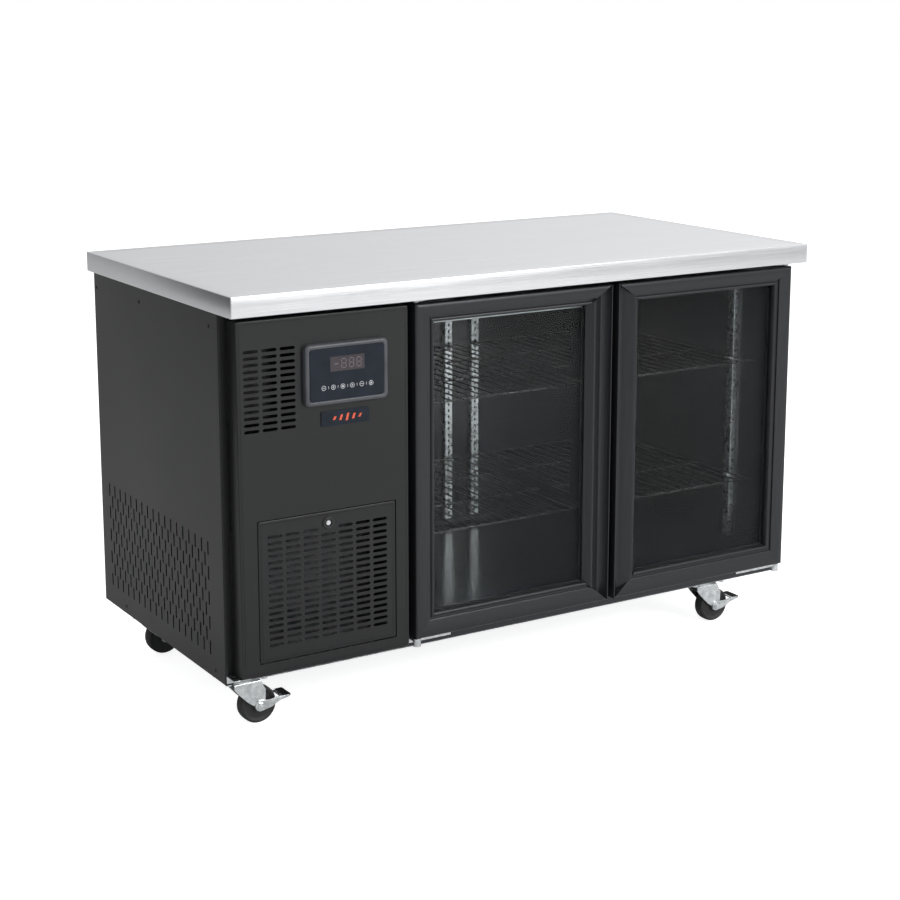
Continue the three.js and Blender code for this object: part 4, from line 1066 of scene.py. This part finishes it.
# Soft seal: a hollow cushion shape with a ridge towards the cabinet.
def makeSeal(side, body):
    low, high = boxOf("door_gasket_" + side)
    bm = bmesh.new()
    depth = high.y - low.y
    section = [(0, 0), (0, depth * 0.25), (1.5, depth * 0.4), (1.0, depth * 0.7), (2.5, depth * 0.95),
               (7, depth), (11.5, depth * 0.95), (13, depth * 0.7), (12.5, depth * 0.4), (14, depth * 0.25),
               (14, 0)]
    rings = [[(a, low.y + y, b) for a, b in insetOutline(low, high, inset, 3.0, 3)] for inset, y in section]
    rings.append(rings[0])
    addLoft(bm, rings, capEnds=False)
    finishPiece("door_seal_" + side, bm, body, [paint["rubber"]], ["door_gasket_" + side])


makeWorktop()
makeVentedSide()
makeFrontPanel()
makeGrille()
makeLock()
makeController()
makeBadge()
print("outside panels made")
makeDoor("left", doorLeftLow, doorLeftHigh, 1)
makeDoor("right", doorRightLow, doorRightHigh, -1)
print("doors made")

roomLeft = boxOf("pilaster_left_front")[0].x - 0.3
roomRight = boxOf("pilaster_right_front")[1].x + 0.3
roomBack = boxOf("pilaster_centre_left")[1].y + 0.3
roomFloor = boxOf("mullion")[0].z - 0.3
roomCeiling = boxOf("mullion")[1].z + 0.3

# Room lining: coved edges all round, a coved foot with a ridge whose pale colour is a painted highlight, and
# a flange over the foam in front.
liningSizes = {"corner": 16.0, "ceilingCove": 10.0, "cove": 12.0, "ridge": 3.5, "sheet": 1.2}


def makeLining():
    s = liningSizes
    bm = bmesh.new()
    front = linerLow.y + 0.6

    def ring(inset, z):
        left, right, back = roomLeft + inset, roomRight - inset, roomBack - inset
        r = s["corner"]
        points = [(left, front)] + arcPoints(left + r, back - r, r, 180, 90, 6)
        points += arcPoints(right - r, back - r, r, 90, 0, 6) + [(right, front)]
        return [(x, y, z) for x, y in points]
    turns = [math.radians(t) for t in (0, 15, 30, 45, 60, 75, 90)]
    c = s["ceilingCove"]
    rings = [ring(c + 10, roomCeiling)]
    rings += [ring(c * (1 - math.cos(t)), roomCeiling - c * (1 - math.sin(t))) for t in reversed(turns)]
    rings += [ring(0, roomFloor + 19), ring(1.2, roomFloor + 18.4), ring(s["ridge"], roomFloor + 16.5)]
    rings += [ring(s["ridge"] + s["cove"] * (1 - math.cos(t)), roomFloor + s["cove"] * (1 - math.sin(t)))
              for t in turns]
    rings.append(ring(s["ridge"] + s["cove"] + 8, roomFloor))
    addLoft(bm, rings, closed=False)
    bmesh.ops.recalc_face_normals(bm, faces=bm.faces)
    lowest = min(bm.faces, key=lambda f: f.calc_center_median().z)
    if lowest.normal.z < 0:
        bmesh.ops.reverse_faces(bm, faces=bm.faces[:])
    # Faces of the coved foot, between 0.2 and 18 mm up, take the pale second material: a painted highlight.
    for face in bm.faces:
        height = face.calc_center_median().z - roomFloor
        face.material_index = 1 if 0.2 < height < 18 else 0
    bmesh.ops.solidify(bm, geom=bm.faces[:], thickness=s["sheet"])
    outer = insetOutline(linerLow, linerHigh, 0, 1.0, 2)
    opening = roundedOutline(roomLeft + 0.2, roomRight - 0.2, roomFloor + 0.2, roomCeiling - 0.2, 8.0, 6)
    values = {"Columns": 1, "Rows": 1, "Skip Column": 0, "Skip Row": 0, "Thickness": 0.6}
    addPunchedSheet(bm, [outer, opening], values, paint["liner"], "front", linerLow.y)
    finishPiece("room_lining", bm, "cabinet", [paint["liner"], paint["covePaintedHighlight"]],
                ["inner_liner"], smoothAngle=40)


# Wire shelf: close rods front to back, and slightly stouter cross rods under them.
def wireShelfTree():
    tree, given, result = newTree("wireShelf", [
        ("Width", "Float", 412.0), ("Depth", "Float", 512.0), ("Rods", "Int", 16), ("Cross Rods", "Int", 3),
        ("Rod Radius", "Float", 1.9), ("Rim Radius", "Float", 2.0), ("Overhang", "Float", 5.0),
        ("Material", "Material", None)])

    def rodRow(count, start, offset, end, radius):
        places = addNode(tree, "GeometryNodeMeshLine", {
            "Count": count, "Start Location": (start, "Vector"), "Offset": (offset, "Vector")}, mode="OFFSET")
        line = addNode(tree, "GeometryNodeCurvePrimitiveLine", {"End": (end, "Vector")})
        ring = addNode(tree, "GeometryNodeCurvePrimitiveCircle", {"Resolution": 10, "Radius": radius})
        rod = addNode(tree, "GeometryNodeCurveToMesh", {
            "Curve": (line, "Curve"), "Profile Curve": (ring, "Curve"), "Fill Caps": True})
        return addNode(tree, "GeometryNodeInstanceOnPoints",
                       {"Points": (places, "Mesh"), "Instance": (rod, "Mesh")})
    radius = (given, "Rim Radius")
    twice = mathNode(tree, "MULTIPLY", radius, 2.0)
    acrossRoom = mathNode(tree, "SUBTRACT", (given, "Width"), twice)
    alongRoom = mathNode(tree, "SUBTRACT", (given, "Depth"),
                         mathNode(tree, "MULTIPLY", (given, "Overhang"), 2.0))
    rodStep = mathNode(tree, "DIVIDE", acrossRoom, mathNode(tree, "SUBTRACT", (given, "Rods"), 1.0))
    crossStep = mathNode(tree, "DIVIDE", alongRoom, mathNode(tree, "SUBTRACT", (given, "Cross Rods"), 1.0))
    rods = rodRow((given, "Rods"), addNode(tree, "ShaderNodeCombineXYZ", {0: radius, 1: 0.4}),
                  addNode(tree, "ShaderNodeCombineXYZ", {0: rodStep}),
                  addNode(tree, "ShaderNodeCombineXYZ",
                          {1: mathNode(tree, "SUBTRACT", (given, "Depth"), 0.8)}), (given, "Rod Radius"))
    crosses = rodRow((given, "Cross Rods"),
                     addNode(tree, "ShaderNodeCombineXYZ", {0: radius, 1: (given, "Overhang"), 2: -0.1}),
                     addNode(tree, "ShaderNodeCombineXYZ", {1: crossStep}),
                     addNode(tree, "ShaderNodeCombineXYZ", {0: acrossRoom}), radius)
    both = addNode(tree, "GeometryNodeJoinGeometry", {"Geometry": (rods, "Instances")})
    tree.links.new(crosses.outputs["Instances"], both.inputs["Geometry"])
    return finishCopies(tree, given, result, both, "Geometry")


shelfSizes = {"rods": 16, "crossRods": 4, "rodRadius": 1.8, "rimRadius": 2.0, "overhang": 6.0}


def makeShelves():
    s = shelfSizes
    tree = wireShelfTree()
    for side in ("left", "right"):
        for level in ("upper", "lower"):
            low, high = boxOf(f"shelf_{side}_{level}")
            mesh = bakeTree(tree, bpy.data.meshes.new("empty"),
                            {"Width": high.x - low.x, "Depth": high.y - low.y, "Rods": s["rods"],
                             "Cross Rods": s["crossRods"], "Rod Radius": s["rodRadius"],
                             "Rim Radius": s["rimRadius"], "Overhang": s["overhang"],
                             "Material": paint["wire"]})
            mesh.transform(Matrix.Translation((low.x, low.y, high.z - s["rimRadius"])))
            dressMesh(f"wire_shelf_{side}_{level}", mesh, f"shelf_{side}_{level}_body",
                      [paint["wire"]], [f"shelf_{side}_{level}"], smoothAngle=50)


# Slotted upright: folded channel with a ladder of slots in its face, and a hooked clip under each shelf.
uprightSizes = {"width": 20.0, "depth": 11.7, "sheet": 1.2, "slotWidth": 5.0, "slotHeight": 8.6,
                "pitch": 14.4, "fold": 1.4, "clipReach": 13.5, "clipWidth": 10.0}


def makeUprights():
    s = uprightSizes
    shelfTops = [boxOf("shelf_left_upper")[0].z, boxOf("shelf_left_lower")[0].z]
    spots = {"left_front": 90, "left_back": 90, "centre_left": 0, "centre_right": 0, "right_front": -90,
             "right_back": -90}
    for place, turn in spots.items():
        low, high = boxOf("pilaster_" + place)
        centre = (low + high) / 2
        wall = {90: (low.x, centre.y), 0: (centre.x, high.y), -90: (high.x, centre.y)}[turn]
        half = s["width"] / 2
        bm = bmesh.new()
        rows = int((high.z - low.z - 24) // s["pitch"]) + 1
        values = {"Columns": 1, "Rows": rows, "Row Pitch": s["pitch"], "First Column": 0.0,
                  "First Row": high.z - 14, "Slot Width": s["slotWidth"], "Slot Height": s["slotHeight"],
                  "Thickness": s["sheet"]}
        face = roundedOutline(-half + s["fold"], half - s["fold"], low.z, high.z, 0.3, 1)
        addPunchedSheet(bm, [face], values, paint["zinc"], "front", -s["depth"])
        for sign in (-1, 1):
            bend = arcPoints(half - s["fold"], -s["depth"] + s["fold"], s["fold"], -90, 0, 4)
            bend += [(half, 0), (half - s["sheet"], 0), (half - s["sheet"], -s["depth"] + s["fold"]),
                     (half - s["fold"], -s["depth"] + s["sheet"])]
            addPlate(bm, [(sign * a, b) for a, b in bend], low.z, high.z, "xy")
        for top in shelfTops:
            reach = -s["depth"] - s["clipReach"]
            hook = [(-s["depth"] - 0.1, top - 0.6), (reach + 1.5, top - 0.6), (reach, top - 1.2),
                    (reach, top - 2.6), (-s["depth"] - 4, top - 4.2), (-s["depth"] - 1.6, top - 9),
                    (-s["depth"] - 0.1, top - 10)]
            wide = s["clipWidth"] / 2
            addPlate(bm, hook, -wide, wide, "yz")
        bm.transform(Matrix.Translation((*wall, 0)) @ Matrix.Rotation(math.radians(turn), 4, "Z"))
        finishPiece("slotted_upright_" + place, bm, "cabinet", [paint["zinc"]], ["pilaster_" + place])


# Copies a node's own shape, melts its flat faces together and rounds its edges.
def softCopy(node, body, finish, bevel, segments=2, smoothAngle=35):
    source = bpy.data.objects[node]
    bm = bmesh.new()
    bm.from_mesh(source.data)
    bm.transform(source.matrix_world)
    bm.transform(Matrix.Scale(1000, 4))
    bmesh.ops.remove_doubles(bm, verts=bm.verts, dist=0.001)
    bmesh.ops.dissolve_limit(bm, angle_limit=math.radians(0.5), verts=bm.verts, edges=bm.edges)
    for face in bm.faces:
        face.material_index = 0
    return finishPiece(node + "_soft", bm, body, [paint[finish]], [node], bevel, segments, smoothAngle)


def makeBrackets():
    for side in ("left", "right"):
        for end in ("top", "bottom"):
            softCopy(f"hinge_bracket_{end}_{side}", "cabinet", "zinc", 0.5)
    softCopy("front_panel_bracket", "cabinet", "zinc", 0.5)
    low, high = boxOf("front_panel_bracket")
    addScrews("bracket_screws", [((low.x + 9, high.y - 2.1, low.z + 6), (0, -1, 0)),
                                 ((low.x + 26, high.y - 2.1, low.z + 6), (0, -1, 0))],
              "cabinet", paint["zinc"], 3.4, 1.4)


# Caster: bolted plate with ball race, folded fork, wheel with a hard hub, and a pedal on the front pair.
casterSizes = {"plateCorner": 7.0, "plateSheet": 3.0, "bolt": 13.0, "legInside": 15.0, "sheet": 3.0,
               "trail": 33.0, "wheel": 37.5, "hub": 27.0, "axleNut": 13.0, "crown": 91.0, "boltAcross": 37.0,
               "boltAlong": 28.0, "spokes": 8}


def makeCaster(place, braked):
    s = casterSizes
    low, high = boxOf("caster_plate_" + place)
    x = (low.x + high.x) / 2
    y = (low.y + high.y) / 2
    top = high.z
    under = top - s["plateSheet"]
    bm = bmesh.new()
    addPlate(bm, roundedOutline(low.x, high.x, low.y, high.y, s["plateCorner"], 5), under, top, "xy")
    addLathe(bm, [(0, under), (31, under), (31, under - 1.5), (29, under - 4.5), (25, under - 6.0),
                  (0, under - 6.0)], (x, y, 0), "z", 40)
    addLathe(bm, [(0, 94.8), (6, 94.8), (6, 87.6), (9, 87.4), (9.4, 86), (7.5, 84.7), (0, 84.6)], (x, y, 0),
             "z", 24)
    for sx in (-1, 1):
        for sy in (-1, 1):
            cx, cy = x + sx * s["boltAcross"], y + sy * s["boltAlong"]
            addPlate(bm, hexOutline(cx, cy, s["bolt"] - 1), under - 5.2, under, "xy")
            addLathe(bm, [(0, under - 0.1), (7.4, under - 0.1), (7.4, under - 1.3), (0, under - 1.3)],
                     (cx, cy, 0), "z", 20)
    finishPiece("caster_top_" + place, bm, "cabinet", [paint["zinc"]], ["caster_plate_" + place], 0.4)
    makeFork(place, x, y, braked)
    makeWheel(place, x + s["trail"], y)
    if braked:
        makePedal(place, x + s["trail"], y)


# Fork: one strip folded down both sides, wide at the crown and narrowing to the axle.
def makeFork(place, x, y, braked):
    s = casterSizes
    low, high = boxOf("caster_fork_" + place)
    axle = s["wheel"]
    crown = s["crown"]
    inside = s["legInside"]
    sheet = s["sheet"]

    def reach(z):
        if z <= axle:
            half = math.sqrt(max(121 - (axle - z) ** 2, 0.5))
            return s["trail"] - half, s["trail"] + half
        share = min((z - axle) / 40, 1.0)
        lean = share ** 0.8
        rear = s["trail"] - 11 - lean * 42
        ahead = s["trail"] + 11 + 1.5 * share if z < 68 else s["trail"] + 12.5 - (z - 68) * 0.5
        return rear, ahead
    levels = (26.7, 28, 30, 33, axle, 46, 56, 68, 78, 84)
    outer = [(inside + sheet, z) for z in levels]
    outer += [(inside + sheet - 6 + a, b) for a, b in arcPoints(0, crown - 6, 6, 0, 90, 6)]
    inner = [(inside, z) for z in levels]
    inner += [(inside - 3 + a, b) for a, b in arcPoints(0, crown - 6, 3, 0, 90, 6)]
    stations = [(a, b, c, d) for (a, b), (c, d) in zip(outer, inner)]
    stations += [(-a, b, -c, d) for a, b, c, d in reversed(stations)]
    rings = []
    for a, b, c, d in stations:
        rear, ahead = (x + span for span in reach(b))
        rings.append([(rear, y + a, b), (ahead, y + a, b), (ahead, y + c, d), (rear, y + c, d)])
    bm = bmesh.new()
    addLoft(bm, rings)
    addLathe(bm, [(11, crown - 0.5), (23, crown - 0.5), (23, crown + 2.4), (11, crown + 2.8),
                  (11, crown - 0.5)], (x, y, 0), "z", 32)
    ax = x + s["trail"]
    end = (high.y - low.y) / 2
    nut = end - 5
    addLathe(bm, [(0, -end + 0.4), (3.4, -end + 0.4), (4, -end + 1), (4, end - 1), (3.4, end - 0.4),
                  (0, end - 0.4)], (ax, y, axle), "y", 20)
    for sign in (-1, 1):
        addPlate(bm, hexOutline(ax, axle, s["axleNut"]), y + sign * (end - 1.4), y + sign * nut, "xz")
        addLathe(bm, [(4, sign * nut), (8.4, sign * nut), (8.4, sign * (nut - 0.9)), (4, sign * (nut - 0.9))],
                 (ax, y, axle), "y", 24)
        if not braked:
            addLathe(bm, [(4, sign * (nut - 0.9)), (6.5, sign * (nut - 0.9)), (6.5, sign * 18),
                          (4, sign * 18)], (ax, y, axle), "y", 20)
    finishPiece("caster_yoke_" + place, bm, "fork_" + place, [paint["zinc"]],
                ["caster_fork_" + place], 0.4, smoothAngle=45)


def makeWheel(place, x, y):
    s = casterSizes
    r = s["wheel"]
    bm = bmesh.new()
    tread = [(s["hub"], -10.5), (r - 4.5, -12.6), (r - 1.6, -11.4), (r - 0.4, -9), (r, -5), (r, 5),
             (r - 0.4, 9), (r - 1.6, 11.4), (r - 4.5, 12.6), (s["hub"], 10.5), (s["hub"], -10.5)]
    addLathe(bm, tread, (x, y, r), "y", 48)
    finishPiece("wheel_tread_" + place, bm, "wheel_" + place, [paint["rubber"]],
                ["caster_wheel_" + place], smoothAngle=40)
    bm = bmesh.new()
    hub = [(4.6, -13), (10.5, -13), (11.5, -12.2), (12.5, -6.5), (s["hub"] - 3, -5.5),
           (s["hub"] - 1.2, -9.8), (s["hub"] + 0.3, -10.2), (s["hub"] + 0.3, 10.2), (s["hub"] - 1.2, 9.8),
           (s["hub"] - 3, 5.5), (12.5, 6.5), (11.5, 12.2), (10.5, 13), (4.6, 13), (4.6, -13)]
    addLathe(bm, hub, (x, y, r), "y", 40)
    for i in range(s["spokes"]):
        angle = 2 * math.pi * i / s["spokes"]
        along = Vector((math.cos(angle), 0, math.sin(angle)))
        across = Vector((-math.sin(angle), 0, math.cos(angle))) * 1.1
        corners = [along * 11.5 - across, along * (s["hub"] - 1.6) - across,
                   along * (s["hub"] - 1.6) + across, along * 11.5 + across]
        addLoft(bm, [[(x + c.x, y + depth, r + c.z) for c in corners] for depth in (-8.6, 8.6)])
    finishPiece("wheel_hub_" + place, bm, "wheel_" + place, [paint["blackPlastic"]],
                smoothAngle=40)


def makePedal(place, x, y):
    low, high = boxOf("brake_pedal_" + place)
    axle = casterSizes["wheel"]
    outside = (high.y - low.y) / 2
    bm = bmesh.new()
    boss = arcPoints(x, axle, 10.8, 285, 75, 14)
    arm = boss + [(x + 20, axle + 9.6), (x + 42, axle + 11.6), (x + 60, axle + 11.6), (x + 62.5, axle + 9.6),
                  (x + 62, axle + 7.4), (x + 40, axle + 2.6), (x + 24, axle - 6)]
    for sign in (-1, 1):
        inner = sign * (outside - 2.5)
        addPlate(bm, arm, y + inner, y + sign * outside)
    addBox(bm, x + 43, x + 62, y - outside + 1, y + outside - 1, axle + 8.8, axle + 11)
    finishPiece("pedal_arms_" + place, bm, "pedal_" + place, [paint["zinc"]],
                ["brake_pedal_" + place], 0.5)
    bm = bmesh.new()
    tip = roundedOutline(x + 50, x + 65, y - outside + 0.5, y + outside - 0.5, 3.0, 4)
    addPlate(bm, tip, axle + 8.4, axle + 12.0, "xy")
    for i in range(3):
        cx = x + 53.5 + i * 4
        addBox(bm, cx - 0.8, cx + 0.8, y - outside + 3, y + outside - 3, axle + 11.8, axle + 12.6)
    finishPiece("pedal_pad_" + place, bm, "pedal_" + place, [paint["blackPlastic"]],
                bevel=0.7)


# Right skin and back: plain sheets with folded edges; the back has a block of air slots behind the machinery.
backSizes = {"inset": 106.0, "rise": 330.0, "columns": 5, "rows": 6, "ribInset": 40.0, "ribDrop": 60.0,
             "ribWidth": 5.0, "screwDrop": 16.0, "screwSpots": (655, 400, 150)}


def makeRightSide():
    low, high = rightLow, rightHigh
    bm = bmesh.new()
    outline = roundedOutline(low.y + 2.6, high.y, low.z, high.z, 0.4, 2)
    values = {"Columns": 1, "Rows": 1, "Skip Column": 0, "Skip Row": 0, "Thickness": high.x - low.x}
    addPunchedSheet(bm, [outline], values, paint["sideCoat"], "left", low.x)
    bend = [(low.x, low.y + 3), (low.x, low.y + 1.5)]
    bend += arcPoints(high.x - 1.4, low.y + 1.4, 1.4, 270, 360, 5) + [(high.x, low.y + 3)]
    addPlate(bm, bend, low.z, high.z, "xy")
    finishPiece("side_skin_right", bm, "cabinet", [paint["sideCoat"]], ["side_panel_right"])


def makeBack():
    s = backSizes
    f = frontSizes
    low, high = backLow, backHigh
    bm = bmesh.new()
    outline = insetOutline(low, high, 0, 2.0, 3)
    values = {"Columns": s["columns"], "Rows": s["rows"], "Column Pitch": f["pitch"],
              "Row Pitch": f["rowPitch"], "First Column": low.x + s["inset"], "First Row": low.z + s["rise"],
              "Slot Width": f["slotWidth"], "Slot Height": f["slotHeight"], "Thickness": high.y - low.y}
    addPunchedSheet(bm, [outline], values, paint["galvanised"], "front", low.y)
    for z in (low.z + s["ribDrop"], high.z - s["ribDrop"]):
        addBox(bm, low.x + s["ribInset"], high.x - s["ribInset"], high.y - 0.2, high.y + 1.6,
               z - s["ribWidth"] / 2, z + s["ribWidth"] / 2)
    finishPiece("back_sheet", bm, "cabinet", [paint["galvanised"]], ["back_panel"], 0.4)
    places = [((sign * x, high.y, z), (0, 1, 0)) for x in s["screwSpots"] for sign in (-1, 1)
              for z in (low.z + s["screwDrop"], high.z - s["screwDrop"])]
    addScrews("back_screws", places, "cabinet", paint["zinc"], 4.0, 1.6)


# Fin block: thin plates side by side along x.
def finTree():
    tree, given, result = newTree("finBlock", [
        ("Fins", "Int", 60), ("Pitch", "Float", 4.0), ("Thickness", "Float", 0.5), ("Depth", "Float", 40.0),
        ("Height", "Float", 200.0), ("Material", "Material", None)])
    step = addNode(tree, "ShaderNodeCombineXYZ", {0: (given, "Pitch")})
    places = addNode(tree, "GeometryNodeMeshLine", {"Count": (given, "Fins"), "Offset": (step, "Vector")},
                     mode="OFFSET")
    size = addNode(tree, "ShaderNodeCombineXYZ",
                   {0: (given, "Thickness"), 1: (given, "Depth"), 2: (given, "Height")})
    fin = addNode(tree, "GeometryNodeMeshCube", {"Size": (size, "Vector")})
    copies = addNode(tree, "GeometryNodeInstanceOnPoints",
                     {"Points": (places, "Mesh"), "Instance": (fin, "Mesh")})
    return finishCopies(tree, given, result, copies)


coilSizes = {"pitch": 4.2, "thickness": 0.5, "tube": 4.5, "rowPitch": 30.0, "endPlate": 1.5}


def makeCoil(node, tree, body):
    s = coilSizes
    low, high = boxOf(node)
    left = low.x + 12
    right = high.x - (0 if node == "condenser" else 12)
    count = int((right - left - 8) // s["pitch"])
    mesh = bakeTree(tree, bpy.data.meshes.new("empty"), {
        "Fins": count, "Pitch": s["pitch"], "Thickness": s["thickness"], "Depth": high.y - low.y - 4,
        "Height": high.z - low.z - 4, "Material": paint["fin"]})
    middle = (low + high) / 2
    mesh.transform(Matrix.Translation((left + 5, middle.y, middle.z)))
    dressMesh(node + "_fins", mesh, body, [paint["fin"]], [node])
    bm = bmesh.new()
    for x in (left, right - s["endPlate"]):
        addBox(bm, x, x + s["endPlate"], low.y, high.y, low.z, high.z)
    finishPiece(node + "_plates", bm, body, [paint["galvanised"]], bevel=0.3)
    bm = bmesh.new()
    rows = int((high.z - low.z - 20) // s["rowPitch"])
    path = []
    for row in range(rows):
        z = low.z + 16 + row * s["rowPitch"]
        ends = (low.x + 2.2 + s["tube"], right - 6)
        first, second = ends if row % 2 == 0 else ends[::-1]
        path += [(first, middle.y, z), (second, middle.y, z)]
    addTube(bm, softPath(path, 7), s["tube"], 12)
    finishPiece(node + "_tube", bm, body, [paint["copper"]], smoothAngle=50)


# Fan wheel: hub with a domed nose and blades that twist from root to tip.
def makeFan(node, body, blades, hubRadius, finish):
    low, high = boxOf(node)
    centre = (low + high) / 2
    reach = (high.z - low.z) / 2 - 1
    depth = high.y - low.y
    bm = bmesh.new()
    addLathe(bm, [(0, -depth * 0.46), (hubRadius * 0.6, -depth * 0.44), (hubRadius * 0.92, -depth * 0.3),
                  (hubRadius, -depth * 0.1), (hubRadius, depth * 0.42), (hubRadius * 0.9, depth * 0.46),
                  (0, depth * 0.46)], centre, "y", 32)
    for blade in range(blades):
        rings = []
        for step in range(7):
            share = step / 6
            radius = hubRadius - 1.5 + (reach - hubRadius + 1.5) * share
            pitch = math.radians(46 - 22 * share)
            chord = hubRadius * 1.1 + (reach - hubRadius) * 0.62 * math.sin(math.pi * (0.25 + 0.55 * share))
            chord = min(chord, depth * 0.86 / math.sin(pitch))
            swing = 2 * math.pi * blade / blades + 0.28 * share
            ring = []
            for along, thick in ((-0.5, 0), (-0.2, 0.9), (0.2, 0.9), (0.5, 0), (0.2, -0.5), (-0.2, -0.5)):
                across = along * chord * math.cos(pitch) - thick * math.sin(pitch)
                height = along * chord * math.sin(pitch) + thick * math.cos(pitch)
                turn = swing + across / radius
                ring.append((centre.x + radius * math.cos(turn), centre.y + height,
                             centre.z + radius * math.sin(turn)))
            rings.append(ring)
        addLoft(bm, rings)
    finishPiece(node + "_wheel", bm, body, [paint[finish]], [node], smoothAngle=40)


def addHoop(bm, radius, wire, centre):
    profile = [(radius + wire * math.cos(math.radians(t)), wire * math.sin(math.radians(t)))
               for t in range(0, 360, 45)]
    profile.append(profile[0])
    addLathe(bm, profile, centre, "y", 48)


guardSizes = {"hoops": (12, 21, 30, 39, 44), "hoopWire": 1.1, "spokeWire": 1.2}


def makeFanGuard():
    low, high = boxOf("evaporator_fan")
    cover = boxOf("evaporator_cover")[0]
    centre = ((low.x + high.x) / 2, cover.y - 1.4, (low.z + high.z) / 2)
    bm = bmesh.new()
    for radius in guardSizes["hoops"]:
        addHoop(bm, radius, guardSizes["hoopWire"], centre)
    for i in range(4):
        angle = math.radians(45 + 90 * i)
        ends = [(centre[0] + r * math.cos(angle), centre[1] + 0.6,
                 centre[2] + r * math.sin(angle)) for r in (2, 45)]
        addTube(bm, ends, guardSizes["spokeWire"], 8)
    finishPiece("fan_guard", bm, "cabinet", [paint["zinc"]], smoothAngle=60)


def makeCompressorPipes():
    low, high = boxOf("compressor")
    condenserHigh = boxOf("condenser")[1]
    bm = bmesh.new()
    x = (low.x + high.x) / 2
    y = (low.y + high.y) / 2
    addTube(bm, softPath([(x + 60, y, low.z + 90), (x + 88, y, low.z + 90), (x + 88, y, low.z + 150),
                          (x + 88, condenserHigh.y + 110, low.z + 150)], 12), 4, 12)
    addTube(bm, softPath([(x - 60, y, low.z + 70), (x - 92, y, low.z + 70), (x - 92, y, low.z + 250),
                          (x - 92, y + 60, low.z + 250)], 12), 4.8, 12)
    finishPiece("refrigerant_pipes", bm, "cabinet", [paint["copper"]], smoothAngle=50)


makeLining()
makeShelves()
makeUprights()
print("cold room made")
makeBrackets()
for place in ("front_left", "front_right", "back_left", "back_right"):
    makeCaster(place, place.startswith("front"))
print("brackets and casters made")
makeRightSide()
makeBack()
fins = finTree()
makeCoil("condenser", fins, "cabinet")
makeCoil("evaporator_coil", fins, "cabinet")
makeFan("evaporator_fan", "cold_air_fan", 5, 13, "blackPlastic")
makeFan("condenser_fan", "cooling_fan", 5, 24, "blackPlastic")
makeFanGuard()
makeCompressorPipes()
softCopy("base_tray", "cabinet", "galvanised", 0.3)
softCopy("insulated_body", "cabinet", "foamSkin", 1.0)
softCopy("mullion", "cabinet", "liner", 1.2)
softCopy("lamp_strip", "cabinet", "lamp", 2.5, 4)
softCopy("evaporator_cover", "cabinet", "liner", 0.4)
softCopy("condenser_fan_motor", "cabinet", "blackPlastic", 0.5)
softCopy("compressor", "cabinet", "blackEnamelAndShade", 1.0)
softCopy("drip_tray", "cabinet", "greyPlastic", 0.5)
# The control box is really bare galvanised sheet; its black enamel here is painted shade for the dark corner
# it sits in.
softCopy("control_box", "cabinet", "blackEnamelAndShade", 1.5)
softCopy("cord_inlet", "cabinet", "blackPlastic", 0.4)
print("machinery made")
